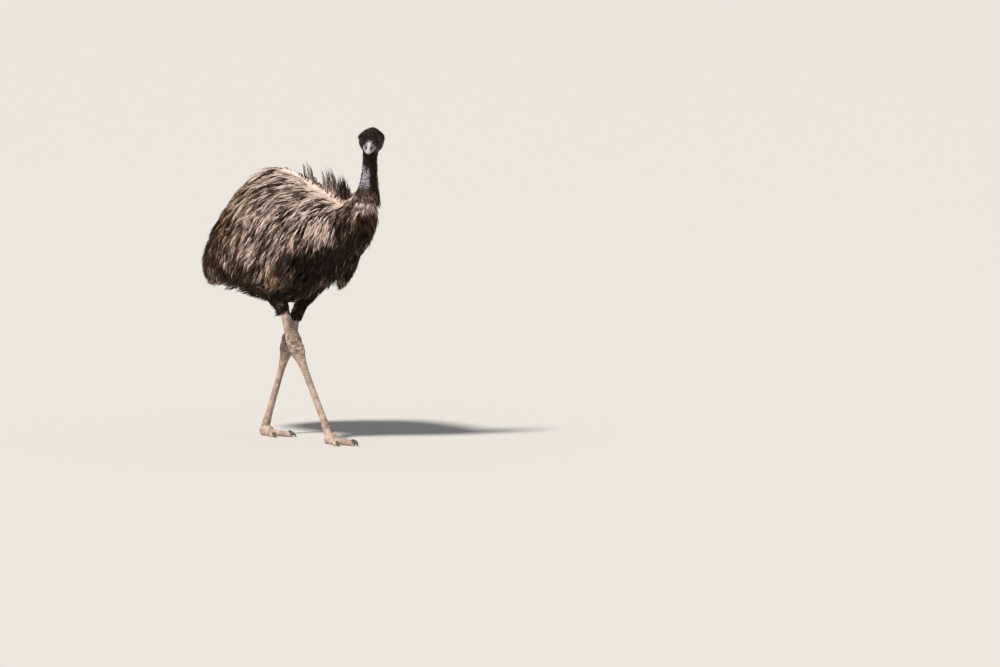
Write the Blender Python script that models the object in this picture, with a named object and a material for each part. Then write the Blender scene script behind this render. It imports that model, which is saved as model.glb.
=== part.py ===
"""Emu at life size, caught in mid stride with its head turned to its right.

The bird faces -Y with its right side on -X, and stands on the plane z = 0. Each solid is the outer
form of one part of the bird, out to the tips of its plumage. Neighbours stop one GAP apart.
"""

import math

import bmesh
import bpy
from mathutils import Matrix, Vector

# Fit and finish of the parts ---------------------------------------------------------------------
GAP = 0.0003
SHARP_ANGLE = math.radians(50.0)

# Trunk and neck, tail tip to skull: (dorsal y, dorsal z, ventral y, ventral z, half width) -------
BODY_STATIONS = (
    (0.448, 0.775, 0.450, 0.735, 0.030),
    (0.437, 0.828, 0.439, 0.694, 0.086),
    (0.398, 0.888, 0.402, 0.664, 0.140),
    (0.342, 0.958, 0.346, 0.646, 0.184),
    (0.268, 1.052, 0.268, 0.634, 0.219),
    (0.176, 1.148, 0.176, 0.618, 0.240),
    (0.075, 1.192, 0.070, 0.602, 0.248),
    (-0.025, 1.164, -0.040, 0.605, 0.247),
    (-0.105, 1.128, -0.132, 0.645, 0.236),
    (-0.185, 1.100, -0.226, 0.724, 0.214),
    (-0.255, 1.074, -0.320, 0.800, 0.178),
    (-0.312, 1.058, -0.394, 0.880, 0.134),
    (-0.354, 1.064, -0.440, 0.952, 0.094),
    (-0.380, 1.092, -0.470, 1.028, 0.064),
    (-0.398, 1.130, -0.478, 1.104, 0.044),
    (-0.408, 1.178, -0.475, 1.168, 0.0345),
    (-0.416, 1.220, -0.474, 1.214, 0.0295),
    (-0.416, 1.256, -0.475, 1.244, 0.0290),
    (-0.420, 1.294, -0.478, 1.274, 0.0290),
)
BODY_SIDES = 24
BODY_STEPS = 2
BODY_ROUNDNESS = 2.15
BODY_DROOP = 0.10

# Where the body is parted, counted in stations from the tail tip
BODY_PARTS = (
    ("tail", 0.0, 2.75),
    ("rump", 2.75, 5.25),
    ("trunk", 5.25, 8.25),
    ("breast", 8.25, 11.25),
    ("neck_lower", 11.25, 13.25),
    ("neck_middle", 13.25, 15.25),
    ("neck_upper", 15.25, 18.0),
)

# Head, in its own axes from the skull's base, facing -Y -----------------------------------------
HEAD_PLACE = Vector((0.0, -0.4535, 1.2805))
HEAD_PITCH = math.radians(15.0)
HEAD_YAW = math.radians(-57.5)
HEAD_ROLL = math.radians(3.5)
# (y, crown z, widest z, jaw z, half width), nape to face
HEAD_STATIONS = (
    (0.066, 0.064, 0.053, 0.040, 0.012),
    (0.058, 0.081, 0.054, 0.018, 0.029),
    (0.038, 0.095, 0.055, 0.000, 0.045),
    (0.010, 0.1000, 0.056, -0.009, 0.0535),
    (-0.018, 0.097, 0.057, -0.004, 0.0540),
    (-0.044, 0.088, 0.056, 0.010, 0.0460),
    (-0.065, 0.078, 0.053, 0.022, 0.0335),
    (-0.082, 0.068, 0.048, 0.032, 0.0180),
)
HEAD_SIDES = 20
HEAD_STEPS = 2
HEAD_ROUNDNESS_ABOVE = 2.6
HEAD_ROUNDNESS_BELOW = 2.2
CROWN_GABLE = 0.46

EYE_PLACE = Vector((0.0365, -0.036, 0.058))
EYE_RADIUS = 0.0125
EYE_SEGMENTS = 14
EYE_RINGS = 8
ORBIT_PLACE = Vector((0.0520, -0.037, 0.058))
ORBIT_HALF_SIZE = Vector((0.0125, 0.0175, 0.0145))

# Bill: (y, culmen z, gape z, keel z, half width), root to tip
BILL_STATIONS = (
    (-0.052, 0.0760, 0.0450, 0.0250, 0.0275),
    (-0.070, 0.0730, 0.0430, 0.0250, 0.0290),
    (-0.089, 0.0650, 0.0405, 0.0250, 0.0265),
    (-0.107, 0.0565, 0.0375, 0.0245, 0.0215),
    (-0.121, 0.0485, 0.0340, 0.0240, 0.0150),
    (-0.130, 0.0405, 0.0310, 0.0245, 0.0088),
    (-0.133, 0.0350, 0.0300, 0.0265, 0.0042),
)
BILL_SIDES = 11
BILL_STEPS = 2
BILL_ROUNDNESS = 1.75
NOSTRIL_PLACE = Vector((0.0108, -0.1095, 0.0510))
NOSTRIL_HALF_SIZE = Vector((0.0030, 0.0060, 0.0034))
NOSTRIL_SLOPE = math.radians(20.0)
NOSTRIL_SEGMENTS = 10
NOSTRIL_RINGS = 6

# Wings: (x, y, z, half thickness, half breadth), shoulder to tip --------------------------------
WING_LEFT = (
    (0.192, -0.215, 0.930, 0.012, 0.018),
    (0.212, -0.190, 0.870, 0.019, 0.034),
    (0.220, -0.160, 0.792, 0.021, 0.040),
    (0.212, -0.128, 0.725, 0.018, 0.036),
    (0.198, -0.120, 0.675, 0.008, 0.022),
)
WING_RIGHT = (
    (-0.200, -0.205, 0.930, 0.012, 0.018),
    (-0.222, -0.178, 0.872, 0.019, 0.036),
    (-0.238, -0.136, 0.800, 0.021, 0.042),
    (-0.239, -0.094, 0.735, 0.017, 0.035),
    (-0.234, -0.072, 0.682, 0.006, 0.012),
)
WING_SIDES = 11
WING_STEPS = 2

# Plumes that stand up beside the parting of the withers: (x, y, z, half thickness, half breadth) --
PLUMES = {
    "mantle_plume_rear": (
        (0.046, -0.082, 1.095, 0.007, 0.020),
        (0.054, -0.062, 1.160, 0.006, 0.015),
        (0.060, -0.026, 1.226, 0.0015, 0.004),
    ),
    "mantle_plume_middle": (
        (0.048, -0.198, 1.055, 0.008, 0.032),
        (0.056, -0.184, 1.125, 0.007, 0.030),
        (0.062, -0.158, 1.188, 0.0015, 0.010),
    ),
    "mantle_plume_front": (
        (0.050, -0.278, 1.030, 0.009, 0.034),
        (0.058, -0.264, 1.095, 0.008, 0.033),
        (0.066, -0.238, 1.168, 0.0015, 0.010),
    ),
}
PLUME_SIDES = 10
PLUME_STEPS = 2

# Legs, one in front and one trailing ------------------------------------------------------------
# thigh: (x, y, z, half across, half fore and aft), inside the trunk to the bare shank
LEGS = {
    "right": {
        "thigh": (
            (-0.112, 0.000, 0.720, 0.074, 0.084),
            (-0.110, -0.006, 0.650, 0.056, 0.056),
            (-0.106, -0.026, 0.604, 0.034, 0.033),
            (-0.104, -0.042, 0.570, 0.021, 0.022),
        ),
        "shank_top": Vector((-0.104, -0.036, 0.590)),
        "hock": Vector((-0.086, -0.092, 0.424)),
        "ankle": Vector((-0.076, -0.277, 0.034)),
        "heading": math.radians(-4.0),
        "inner": 1.0,
    },
    "left": {
        "thigh": (
            (0.100, -0.040, 0.720, 0.072, 0.080),
            (0.096, -0.022, 0.650, 0.050, 0.052),
            (0.088, 0.012, 0.600, 0.031, 0.032),
            (0.082, 0.036, 0.545, 0.0235, 0.0250),
            (0.078, 0.045, 0.516, 0.0215, 0.0230),
        ),
        "shank_top": Vector((0.081, 0.040, 0.540)),
        "hock": Vector((0.072, 0.078, 0.412)),
        "ankle": Vector((0.030, 0.181, 0.034)),
        "heading": math.radians(3.0),
        "inner": -1.0,
    },
}
THIGH_SIDES = 20
THIGH_STEPS = 2
LEG_SIDES = 14
# (share of the bone, half across, half fore and aft)
SHANK_GIRTHS = (
    (0.0, 0.0165, 0.0175),
    (0.25, 0.0185, 0.0210),
    (0.50, 0.0225, 0.0265),
    (0.78, 0.0270, 0.0340),
)
HOCK_GIRTHS = ((0.12, 0.0290, 0.0385), (0.0, 0.0270, 0.0365), (-0.08, 0.0270, 0.0360))
TARSUS_GIRTHS = (
    (0.16, 0.0195, 0.0240),
    (0.30, 0.0135, 0.0155),
    (0.55, 0.0128, 0.0145),
    (0.80, 0.0138, 0.0150),
    (0.93, 0.0180, 0.0180),
    (1.02, 0.0190, 0.0185),
)
HOCK_CUT_ABOVE = 0.052
HOCK_CUT_BELOW = 0.055
LEG_STEPS = 2

# Feet: a pad under the ankle, three toes and their claws ------------------------------------------
PAD_HALF_SIZE = Vector((0.0300, 0.0340, 0.0270))
PAD_FORWARD = 0.010
PAD_HEIGHT = 0.0190
PAD_SEGMENTS = 14
PAD_RINGS = 8
# (length, half width, height, splay toward the other foot, pads along it)
TOES = {
    "inner": (0.104, 0.0145, 0.0270, math.radians(31.0), 2),
    "middle": (0.150, 0.0170, 0.0300, 0.0, 3),
    "outer": (0.110, 0.0145, 0.0270, math.radians(-29.0), 3),
}
TOE_SIDES = 10
TOE_STATIONS = 10
TOE_TAPER = 0.36
TOE_PAD_SWELL = 0.055
TOE_TIP_START = 0.86
TOE_TIP_SHARE = 0.15
TOE_TIP_LEAST = 0.10
TOE_SOLE = 0.30
CLAW_LENGTH = 0.030
CLAW_HALF_WIDTH = 0.0078
CLAW_FLATNESS = 0.85
CLAW_ROOT = 0.955
CLAW_TAPER = 0.93
CLAW_RISE = 0.30
CLAW_CLEARANCE = 0.0012
CLAW_SIDES = 8
CLAW_STATIONS = 4

COLOURS = {
    "dark_plumage": ((0.075, 0.052, 0.038), 0.85),
    "pale_plumage": ((0.300, 0.215, 0.160), 0.85),
    "black_plumage": ((0.022, 0.017, 0.015), 0.80),
    "neck_skin": ((0.240, 0.255, 0.320), 0.60),
    "bill_horn": ((0.430, 0.385, 0.400), 0.45),
    "eye": ((0.020, 0.011, 0.007), 0.08),
    "leg_scale": ((0.330, 0.240, 0.190), 0.60),
    "claw_horn": ((0.060, 0.048, 0.042), 0.40),
}


def material(name, finish):
    """A Principled material of its own for one part."""
    colour, roughness = COLOURS[finish]
    made = bpy.data.materials.new(name)
    made.use_nodes = True
    shader = made.node_tree.nodes["Principled BSDF"]
    shader.inputs["Base Color"].default_value = (*colour, 1.0)
    shader.inputs["Roughness"].default_value = roughness
    shader.inputs["Metallic"].default_value = 0.0
    return made


def through(stations, place):
    """Point of a smooth curve through tuples of numbers, at a place counted in stations."""
    last = len(stations) - 1
    start = min(int(place), last - 1)
    share = place - start
    before = stations[max(start - 1, 0)]
    here = stations[start]
    there = stations[start + 1]
    after = stations[min(start + 2, last)]
    point = []
    for a, b, c, d in zip(before, here, there, after):
        bend = (2 * a - 5 * b + 4 * c - d) * share ** 2 + (3 * b - a - 3 * c + d) * share ** 3
        point.append(b + 0.5 * ((c - a) * share + bend))
    return point


def places(stations, steps):
    """Evenly counted places along a list of stations, its ends included."""
    count = (len(stations) - 1) * steps
    return [index / steps for index in range(count + 1)]


def power_of(value, roundness):
    """A cosine or sine bent toward a square section, or toward a diamond under 2."""
    return math.copysign(abs(value) ** (2.0 / roundness), value)


def put(mesh_builder, name, collection, origin=None):
    """New object from a BMesh built in world axes, with its origin moved to a point."""
    mesh = bpy.data.meshes.new(name)
    bmesh.ops.recalc_face_normals(mesh_builder, faces=mesh_builder.faces)
    place = origin if origin is not None else Vector()
    bmesh.ops.translate(mesh_builder, verts=mesh_builder.verts, vec=-place)
    mesh_builder.to_mesh(mesh)
    mesh_builder.free()
    mesh.shade_smooth()
    mesh.set_sharp_from_angle(angle=SHARP_ANGLE)
    made = bpy.data.objects.new(name, mesh)
    made.location = place
    collection.objects.link(made)
    return made


def loft(rings):
    """Closed BMesh through rings of equally many points, flat at both ends."""
    builder = bmesh.new()
    loops = [[builder.verts.new(point) for point in ring] for ring in rings]
    for near, far in zip(loops, loops[1:]):
        for index in range(len(near)):
            after = (index + 1) % len(near)
            builder.faces.new((near[index], near[after], far[after], far[index]))
    builder.faces.new(loops[0][::-1])
    builder.faces.new(loops[-1])
    return builder


def cut_flat(builder, point, normal):
    """Cut away what lies beyond a plane and close the cut."""
    geometry = builder.verts[:] + builder.edges[:] + builder.faces[:]
    bmesh.ops.bisect_plane(builder, geom=geometry, plane_co=point, plane_no=normal,
                           clear_outer=True)
    rim = [edge for edge in builder.edges if edge.is_boundary]
    bmesh.ops.holes_fill(builder, edges=rim, sides=0)


def take(target, cutter):
    """Cut one object from another, and keep the cutter out of the finished model."""
    cutter.hide_render = True
    cutter.display_type = "WIRE"
    modifier = target.modifiers.new("cut by " + cutter.name, "BOOLEAN")
    modifier.operation = "DIFFERENCE"
    modifier.solver = "EXACT"
    modifier.object = cutter


def finish_part(part, finish):
    part.data.materials.append(material(part.name, finish))
    return part


# Trunk and neck -------------------------------------------------------------------------------

def body_ring(place, grow):
    """Egg-like section across the body, with its widest level below the middle."""
    dorsal_y, dorsal_z, ventral_y, ventral_z, half_width = through(BODY_STATIONS, place)
    dorsal = Vector((0.0, dorsal_y, dorsal_z))
    ventral = Vector((0.0, ventral_y, ventral_z))
    centre = (dorsal + ventral) / 2
    up = (dorsal - ventral) / 2
    up *= 1.0 + grow / up.length
    ring = []
    for index in range(BODY_SIDES):
        angle = math.tau * (index + 0.5) / BODY_SIDES
        across = power_of(math.cos(angle), BODY_ROUNDNESS)
        height = power_of(math.sin(angle), BODY_ROUNDNESS)
        height -= BODY_DROOP * (1.0 - height ** 2)
        ring.append(centre + Vector(((half_width + grow) * across, 0, 0)) + up * height)
    return ring


def body_form(grow=0.0):
    """The whole body from tail to skull as one solid."""
    return loft([body_ring(place, grow) for place in places(BODY_STATIONS, BODY_STEPS)])


def body_cutting_form():
    """The body grown by one gap, in flat three-sided faces."""
    builder = body_form(GAP)
    bmesh.ops.triangulate(builder, faces=builder.faces, quad_method="FIXED")
    return builder


def body_plane(place):
    """Centre of the body at a place, and the direction toward the head there."""
    dorsal_y, dorsal_z, ventral_y, ventral_z, _ = through(BODY_STATIONS, place)
    centre = Vector((0.0, dorsal_y + ventral_y, dorsal_z + ventral_z)) / 2
    toward_head = Vector((0.0, ventral_z - dorsal_z, dorsal_y - ventral_y)).normalized()
    return centre, toward_head


def build_body(parts):
    """Part the body across its length with thin flat cuts."""
    made = {}
    for name, start, end in BODY_PARTS:
        builder = body_form()
        centre, toward_head = body_plane(start)
        if start > 0.0:
            cut_flat(builder, centre + toward_head * GAP / 2, -toward_head)
        if end < len(BODY_STATIONS) - 1:
            end_centre, end_direction = body_plane(end)
            cut_flat(builder, end_centre - end_direction * GAP / 2, end_direction)
        made[name] = put(builder, name, parts, centre)
    finishes = {"neck_upper": "black_plumage", "neck_middle": "neck_skin",
                "neck_lower": "pale_plumage"}
    for name, part in made.items():
        finish_part(part, finishes.get(name, "dark_plumage"))
    return made


# Limbs: tapering forms along a path --------------------------------------------------------------

def limb_form(stations, sides, steps, grow=0.0):
    """Loft along a path of (x, y, z, half across, half fore and aft)."""
    marks = places(stations, steps)
    points = [through(stations, mark) for mark in marks]
    centres = [Vector(point[:3]) for point in points]
    rings = []
    for index, point in enumerate(points):
        ahead = centres[min(index + 1, len(centres) - 1)]
        behind = centres[max(index - 1, 0)]
        along = (ahead - behind).normalized()
        fore = along.cross(Vector((1.0, 0.0, 0.0))).normalized()
        across = fore.cross(along)
        half_across = point[3] + grow
        half_fore = point[4] + grow
        centre = centres[index]
        if index == 0:
            centre = centre - along * grow
        if index == len(points) - 1:
            centre = centre + along * grow
        ring = []
        for side in range(sides):
            angle = math.tau * (side + 0.5) / sides
            ring.append(centre + across * half_across * math.cos(angle)
                        + fore * half_fore * math.sin(angle))
        rings.append(ring)
    return loft(rings)


def build_wings(parts, body_cutter):
    """Small wings against the sides of the body, cut to its outline."""
    for name, stations in (("wing_left", WING_LEFT), ("wing_right", WING_RIGHT)):
        form = limb_form(stations, WING_SIDES, WING_STEPS)
        wing = put(form, name, parts, Vector(stations[0][:3]))
        finish_part(wing, "black_plumage")
        take(wing, body_cutter)


def build_plumes(parts, body_cutter):
    """Raised plumes that stand on the back."""
    for name, stations in PLUMES.items():
        form = limb_form(stations, PLUME_SIDES, PLUME_STEPS)
        plume = put(form, name, parts, Vector(stations[0][:3]))
        finish_part(plume, "dark_plumage")
        take(plume, body_cutter)


# Head -----------------------------------------------------------------------------------------

def head_matrix():
    """From the head's own axes to the bird's."""
    turn = Matrix.Rotation(HEAD_YAW, 4, "Z") @ Matrix.Rotation(HEAD_PITCH, 4, "X")
    return Matrix.Translation(HEAD_PLACE) @ turn @ Matrix.Rotation(HEAD_ROLL, 4, "Y")


def place_on_head(part, at=None):
    """Turn a part modelled in the head's own axes into place."""
    offset = Matrix.Translation(at) if at is not None else Matrix.Identity(4)
    part.matrix_world = head_matrix() @ offset
    return part


def head_form(grow=0.0):
    """Skull and its short plumage, with a gabled crown."""
    rings = []
    marks = places(HEAD_STATIONS, HEAD_STEPS)
    for number, mark in enumerate(marks):
        y, crown, widest, jaw, half_width = through(HEAD_STATIONS, mark)
        if number == 0:
            y += grow
        if number == len(marks) - 1:
            y -= grow
        ring = []
        for index in range(HEAD_SIDES):
            angle = math.tau * index / HEAD_SIDES
            above = math.sin(angle) > 0.0
            roundness = HEAD_ROUNDNESS_ABOVE if above else HEAD_ROUNDNESS_BELOW
            reach = crown - widest if above else widest - jaw
            across = power_of(math.cos(angle), roundness) * (half_width + grow)
            height = power_of(math.sin(angle), roundness) * (reach + grow)
            if above:
                height *= 1.0 - CROWN_GABLE * abs(math.cos(angle))
            ring.append(Vector((across, y, widest + height)))
        rings.append(ring)
    return loft(rings)


def bill_form(upper):
    """Half of the bill: arched over the gape, or shallow under it."""
    rings = []
    for mark in places(BILL_STATIONS, BILL_STEPS):
        y, culmen, gape, keel, half_width = through(BILL_STATIONS, mark)
        floor = gape + GAP / 2 if upper else gape - GAP / 2
        reach = culmen - floor if upper else keel - floor
        ring = []
        for index in range(BILL_SIDES):
            angle = math.pi * index / (BILL_SIDES - 1)
            across = math.cos(angle) * half_width
            height = power_of(math.sin(angle), BILL_ROUNDNESS) * reach
            ring.append(Vector((across, y, floor + height)))
        rings.append(ring)
    return loft(rings)


def bill_cutter_form():
    """Both halves of the bill as one form, a gap larger, for its seat in the face."""
    rings = []
    for mark in places(BILL_STATIONS, BILL_STEPS):
        y, culmen, gape, keel, half_width = through(BILL_STATIONS, mark)
        if mark == 0.0:
            y += GAP
        ring = []
        for index in range(2 * BILL_SIDES - 2):
            angle = math.pi * index / (BILL_SIDES - 1)
            above = math.sin(angle) > 0.0
            reach = culmen - gape if above else gape - keel
            across = math.cos(angle) * (half_width + GAP)
            height = power_of(math.sin(angle), BILL_ROUNDNESS) * (reach + GAP)
            ring.append(Vector((across, y, gape + height)))
        rings.append(ring)
    return loft(rings)


def ball(name, collection, radius, segments, rings, scale=None):
    """Sphere, or an ellipsoid where a scale is given."""
    builder = bmesh.new()
    bmesh.ops.create_uvsphere(builder, u_segments=segments, v_segments=rings, radius=radius)
    if scale is not None:
        bmesh.ops.scale(builder, verts=builder.verts, vec=scale)
    return put(builder, name, collection)


def nostril_cutter(name, side, cutters):
    """Slanted oval that opens one nostril."""
    made = ball(name, cutters, 1.0, NOSTRIL_SEGMENTS, NOSTRIL_RINGS, NOSTRIL_HALF_SIZE)
    spot = Vector((side * NOSTRIL_PLACE.x, NOSTRIL_PLACE.y, NOSTRIL_PLACE.z))
    made.matrix_world = (head_matrix() @ Matrix.Translation(spot)
                         @ Matrix.Rotation(NOSTRIL_SLOPE, 4, "X"))
    return made


def build_head(parts, cutters, neck_upper):
    """Head, both halves of the bill, and the eyes in their sockets."""
    head = place_on_head(put(head_form(), "head", parts))
    finish_part(head, "black_plumage")
    take(neck_upper, place_on_head(put(head_form(GAP), "cut_head", cutters)))
    take(head, place_on_head(put(bill_cutter_form(), "cut_bill", cutters)))

    upper = finish_part(place_on_head(put(bill_form(True), "bill_upper", parts)), "bill_horn")
    finish_part(place_on_head(put(bill_form(False), "bill_lower", parts)), "bill_horn")
    for label, side in (("left", 1.0), ("right", -1.0)):
        take(upper, nostril_cutter("cut_nostril_" + label, side, cutters))
        spot = Vector((side * EYE_PLACE.x, EYE_PLACE.y, EYE_PLACE.z))
        eye = ball("eye_" + label, parts, EYE_RADIUS, EYE_SEGMENTS, EYE_RINGS)
        finish_part(place_on_head(eye, spot), "eye")
        socket = ball("cut_socket_" + label, cutters, EYE_RADIUS + GAP, EYE_SEGMENTS, EYE_RINGS)
        take(head, place_on_head(socket, spot))
        orbit = ball("cut_orbit_" + label, cutters, 1.0, EYE_SEGMENTS, EYE_RINGS, ORBIT_HALF_SIZE)
        spot = Vector((side * ORBIT_PLACE.x, ORBIT_PLACE.y, ORBIT_PLACE.z))
        take(head, place_on_head(orbit, spot))


# Legs -----------------------------------------------------------------------------------------

def leg_stations(leg):
    """Bare leg from the thigh's plumage to the ankle: (x, y, z, half across, half fore and aft)."""
    top, hock, ankle = leg["shank_top"], leg["hock"], leg["ankle"]
    stations = []
    for share, across, fore in SHANK_GIRTHS:
        stations.append((*top.lerp(hock, share), across, fore))
    for rise, across, fore in HOCK_GIRTHS:
        spot = hock.lerp(top, rise) if rise > 0.0 else hock.lerp(ankle, -rise)
        stations.append((*spot, across, fore))
    for share, across, fore in TARSUS_GIRTHS:
        stations.append((*hock.lerp(ankle, share), across, fore))
    return stations


def build_bare_leg(side, leg, parts, thigh_cutter, pad_cutter):
    """Shank, hock and tarsus, parted above and below the hock."""
    top, hock, ankle = leg["shank_top"], leg["hock"], leg["ankle"]
    above = hock + (top - hock).normalized() * HOCK_CUT_ABOVE
    below = hock + (ankle - hock).normalized() * HOCK_CUT_BELOW
    upward = (top - hock).normalized()
    downward = (ankle - hock).normalized()
    stations = leg_stations(leg)

    shank = limb_form(stations, LEG_SIDES, LEG_STEPS)
    cut_flat(shank, above + upward * GAP / 2, -upward)
    shank = finish_part(put(shank, "shank_" + side, parts, top), "leg_scale")
    take(shank, thigh_cutter)

    joint = limb_form(stations, LEG_SIDES, LEG_STEPS)
    cut_flat(joint, above - upward * GAP / 2, upward)
    cut_flat(joint, below - downward * GAP / 2, downward)
    finish_part(put(joint, "hock_" + side, parts, hock), "leg_scale")

    tarsus = limb_form(stations, LEG_SIDES, LEG_STEPS)
    cut_flat(tarsus, below + downward * GAP / 2, -downward)
    tarsus = finish_part(put(tarsus, "tarsus_" + side, parts, below), "leg_scale")
    take(tarsus, pad_cutter)


def pad_form(grow=0.0):
    """Rounded pad under the ankle, flat on the ground."""
    builder = bmesh.new()
    bmesh.ops.create_uvsphere(builder, u_segments=PAD_SEGMENTS, v_segments=PAD_RINGS, radius=1.0)
    size = PAD_HALF_SIZE + Vector((grow, grow, grow))
    bmesh.ops.scale(builder, verts=builder.verts, vec=size)
    bmesh.ops.translate(builder, verts=builder.verts, vec=Vector((0, -PAD_FORWARD, PAD_HEIGHT)))
    cut_flat(builder, Vector((0, 0, -grow)), Vector((0, 0, -1)))
    return builder


def toe_form(length, half_width, height, pads, grow=0.0):
    """Toe along -Y from the pad's centre, with a row of low pads and a flat sole."""
    rings = []
    for number in range(TOE_STATIONS + 1):
        share = number / TOE_STATIONS
        past_tip = max(share - TOE_TIP_START, 0.0) / TOE_TIP_SHARE
        rounding = math.sqrt(max(1.0 - past_tip ** 2, TOE_TIP_LEAST))
        swell = 1.0 + TOE_PAD_SWELL * math.cos(math.tau * pads * share)
        size = (1.0 - TOE_TAPER * share) * swell * rounding
        half = half_width * size + grow
        tall = height * size / (2.0 - TOE_SOLE) + grow
        centre = tall * (1.0 - TOE_SOLE)
        y = -length * share
        if number == TOE_STATIONS:
            y -= grow
        ring = []
        for side in range(TOE_SIDES):
            angle = math.tau * (side + 0.5) / TOE_SIDES
            ring.append(Vector((half * math.cos(angle), y, centre + tall * math.sin(angle))))
        rings.append(ring)
    builder = loft(rings)
    cut_flat(builder, Vector((0, 0, -grow)), Vector((0, 0, -1)))
    return builder


def claw_form(length, half_width, height):
    """Blunt claw that leaves the toe's tip and bends down without touching the ground."""
    base = -length * CLAW_ROOT
    rings = []
    for number in range(CLAW_STATIONS + 1):
        share = number / CLAW_STATIONS
        half = CLAW_HALF_WIDTH * math.sqrt(1.0 - CLAW_TAPER * share ** 2)
        tall = half * CLAW_FLATNESS
        centre = height * CLAW_RISE * (1.0 - share ** 2) + tall + CLAW_CLEARANCE
        ring = []
        for side in range(CLAW_SIDES):
            angle = math.tau * (side + 0.5) / CLAW_SIDES
            ring.append(Vector((half * math.cos(angle), base - CLAW_LENGTH * share,
                                centre + tall * math.sin(angle))))
        rings.append(ring)
    return loft(rings)


def build_foot(side, leg, parts, cutters):
    """Pad, toes and claws. Returns the cutter that shapes the ankle around the pad."""
    ankle = leg["ankle"]
    ground = Matrix.Translation((ankle.x, ankle.y, 0.0)) @ Matrix.Rotation(leg["heading"], 4, "Z")
    pad = put(pad_form(), "foot_" + side, parts)
    pad.matrix_world = ground
    finish_part(pad, "leg_scale")
    pad_cutter = put(pad_form(GAP), "cut_foot_" + side, cutters)
    pad_cutter.matrix_world = ground

    middle_cutter = None
    for digit in ("middle", "inner", "outer"):
        length, half_width, height, splay, pads = TOES[digit]
        turn = ground @ Matrix.Rotation(splay * leg["inner"], 4, "Z")
        label = digit + "_" + side
        toe = put(toe_form(length, half_width, height, pads), "toe_" + label, parts)
        toe.matrix_world = turn
        finish_part(toe, "leg_scale")
        take(toe, pad_cutter)
        toe_cutter = put(toe_form(length, half_width, height, pads, GAP), "cut_" + label, cutters)
        toe_cutter.matrix_world = turn
        if digit == "middle":
            middle_cutter = toe_cutter
        else:
            take(toe, middle_cutter)
        claw = put(claw_form(length, half_width, height), "claw_" + label, parts)
        claw.matrix_world = turn
        finish_part(claw, "claw_horn")
        take(claw, toe_cutter)
    return pad_cutter


def build_legs(parts, cutters, body_cutter):
    """Both legs, each from its thigh to its claws."""
    for side, leg in LEGS.items():
        thigh = put(limb_form(leg["thigh"], THIGH_SIDES, THIGH_STEPS), "thigh_" + side, parts,
                    Vector(leg["thigh"][0][:3]))
        finish_part(thigh, "black_plumage")
        take(thigh, body_cutter)
        thigh_cutter = put(limb_form(leg["thigh"], THIGH_SIDES, THIGH_STEPS, GAP),
                           "cut_thigh_" + side, cutters)
        pad_cutter = build_foot(side, leg, parts, cutters)
        build_bare_leg(side, leg, parts, thigh_cutter, pad_cutter)


def clear_scene():
    for old in list(bpy.data.objects):
        bpy.data.objects.remove(old, do_unlink=True)


def new_collection(name):
    made = bpy.data.collections.new(name)
    bpy.context.scene.collection.children.link(made)
    return made


def stand_on_origin(parts, cutters):
    """Hang everything on an empty and move it until the bird's box stands centred on the origin."""
    bpy.context.view_layer.update()
    graph = bpy.context.evaluated_depsgraph_get()
    points = []
    for part in parts.objects:
        solid = part.evaluated_get(graph)
        points += [solid.matrix_world @ vertex.co for vertex in solid.data.vertices]
    middle_x = (min(point.x for point in points) + max(point.x for point in points)) / 2
    middle_y = (min(point.y for point in points) + max(point.y for point in points)) / 2
    root = bpy.data.objects.new("emu_root", None)
    bpy.context.scene.collection.objects.link(root)
    for piece in list(parts.objects) + list(cutters.objects):
        piece.parent = root
    root.location = (-middle_x, -middle_y, 0.0)


def main():
    clear_scene()
    parts = new_collection("emu")
    cutters = new_collection("emu cutters")
    body = build_body(parts)
    body_cutter = put(body_cutting_form(), "cut_body", cutters)
    build_wings(parts, body_cutter)
    build_plumes(parts, body_cutter)
    build_head(parts, cutters, body["neck_upper"])
    build_legs(parts, cutters, body_cutter)
    stand_on_origin(parts, cutters)
    bpy.context.view_layer.update()


main()
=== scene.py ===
"""Looks of the life-size walking emu: skin, bill, eyes, claws, plumage and a plain stage.

The solids are the outer form of the bird, out to the tips of its plumage. One skin lies inside
them by the depth of the plumage, and the plumage is laid over it in tufts of thin strands.
"""

import math

import bmesh
import bpy
import numpy as np
from bpy.props import FloatProperty, FloatVectorProperty, IntProperty, PointerProperty
from mathutils import Matrix, Vector
from mathutils.bvhtree import BVHTree


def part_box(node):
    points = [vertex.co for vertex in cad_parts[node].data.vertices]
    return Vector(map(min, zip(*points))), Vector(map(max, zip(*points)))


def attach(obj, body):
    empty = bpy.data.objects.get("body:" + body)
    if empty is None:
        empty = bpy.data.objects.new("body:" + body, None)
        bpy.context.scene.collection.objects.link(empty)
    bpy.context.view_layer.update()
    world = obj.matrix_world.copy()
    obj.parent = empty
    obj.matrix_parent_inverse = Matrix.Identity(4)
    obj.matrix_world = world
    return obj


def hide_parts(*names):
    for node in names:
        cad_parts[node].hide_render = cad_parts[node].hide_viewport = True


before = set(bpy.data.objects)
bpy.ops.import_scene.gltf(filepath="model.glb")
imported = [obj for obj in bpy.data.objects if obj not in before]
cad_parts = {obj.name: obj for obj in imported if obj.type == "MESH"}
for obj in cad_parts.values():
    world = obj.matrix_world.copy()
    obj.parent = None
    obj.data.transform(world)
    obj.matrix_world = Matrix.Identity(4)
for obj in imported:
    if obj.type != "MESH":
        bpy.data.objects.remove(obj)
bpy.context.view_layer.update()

bl_info = {
    "name": "Walking emu",
    "version": (1, 0, 0),
    "blender": (4, 5, 0),
    "location": "3D View > Sidebar > Emu",
    "description": "Skin, bill, eyes, claws and plumage of a life-size walking emu",
    "category": "Object",
}

ALL = slice(None)

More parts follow.
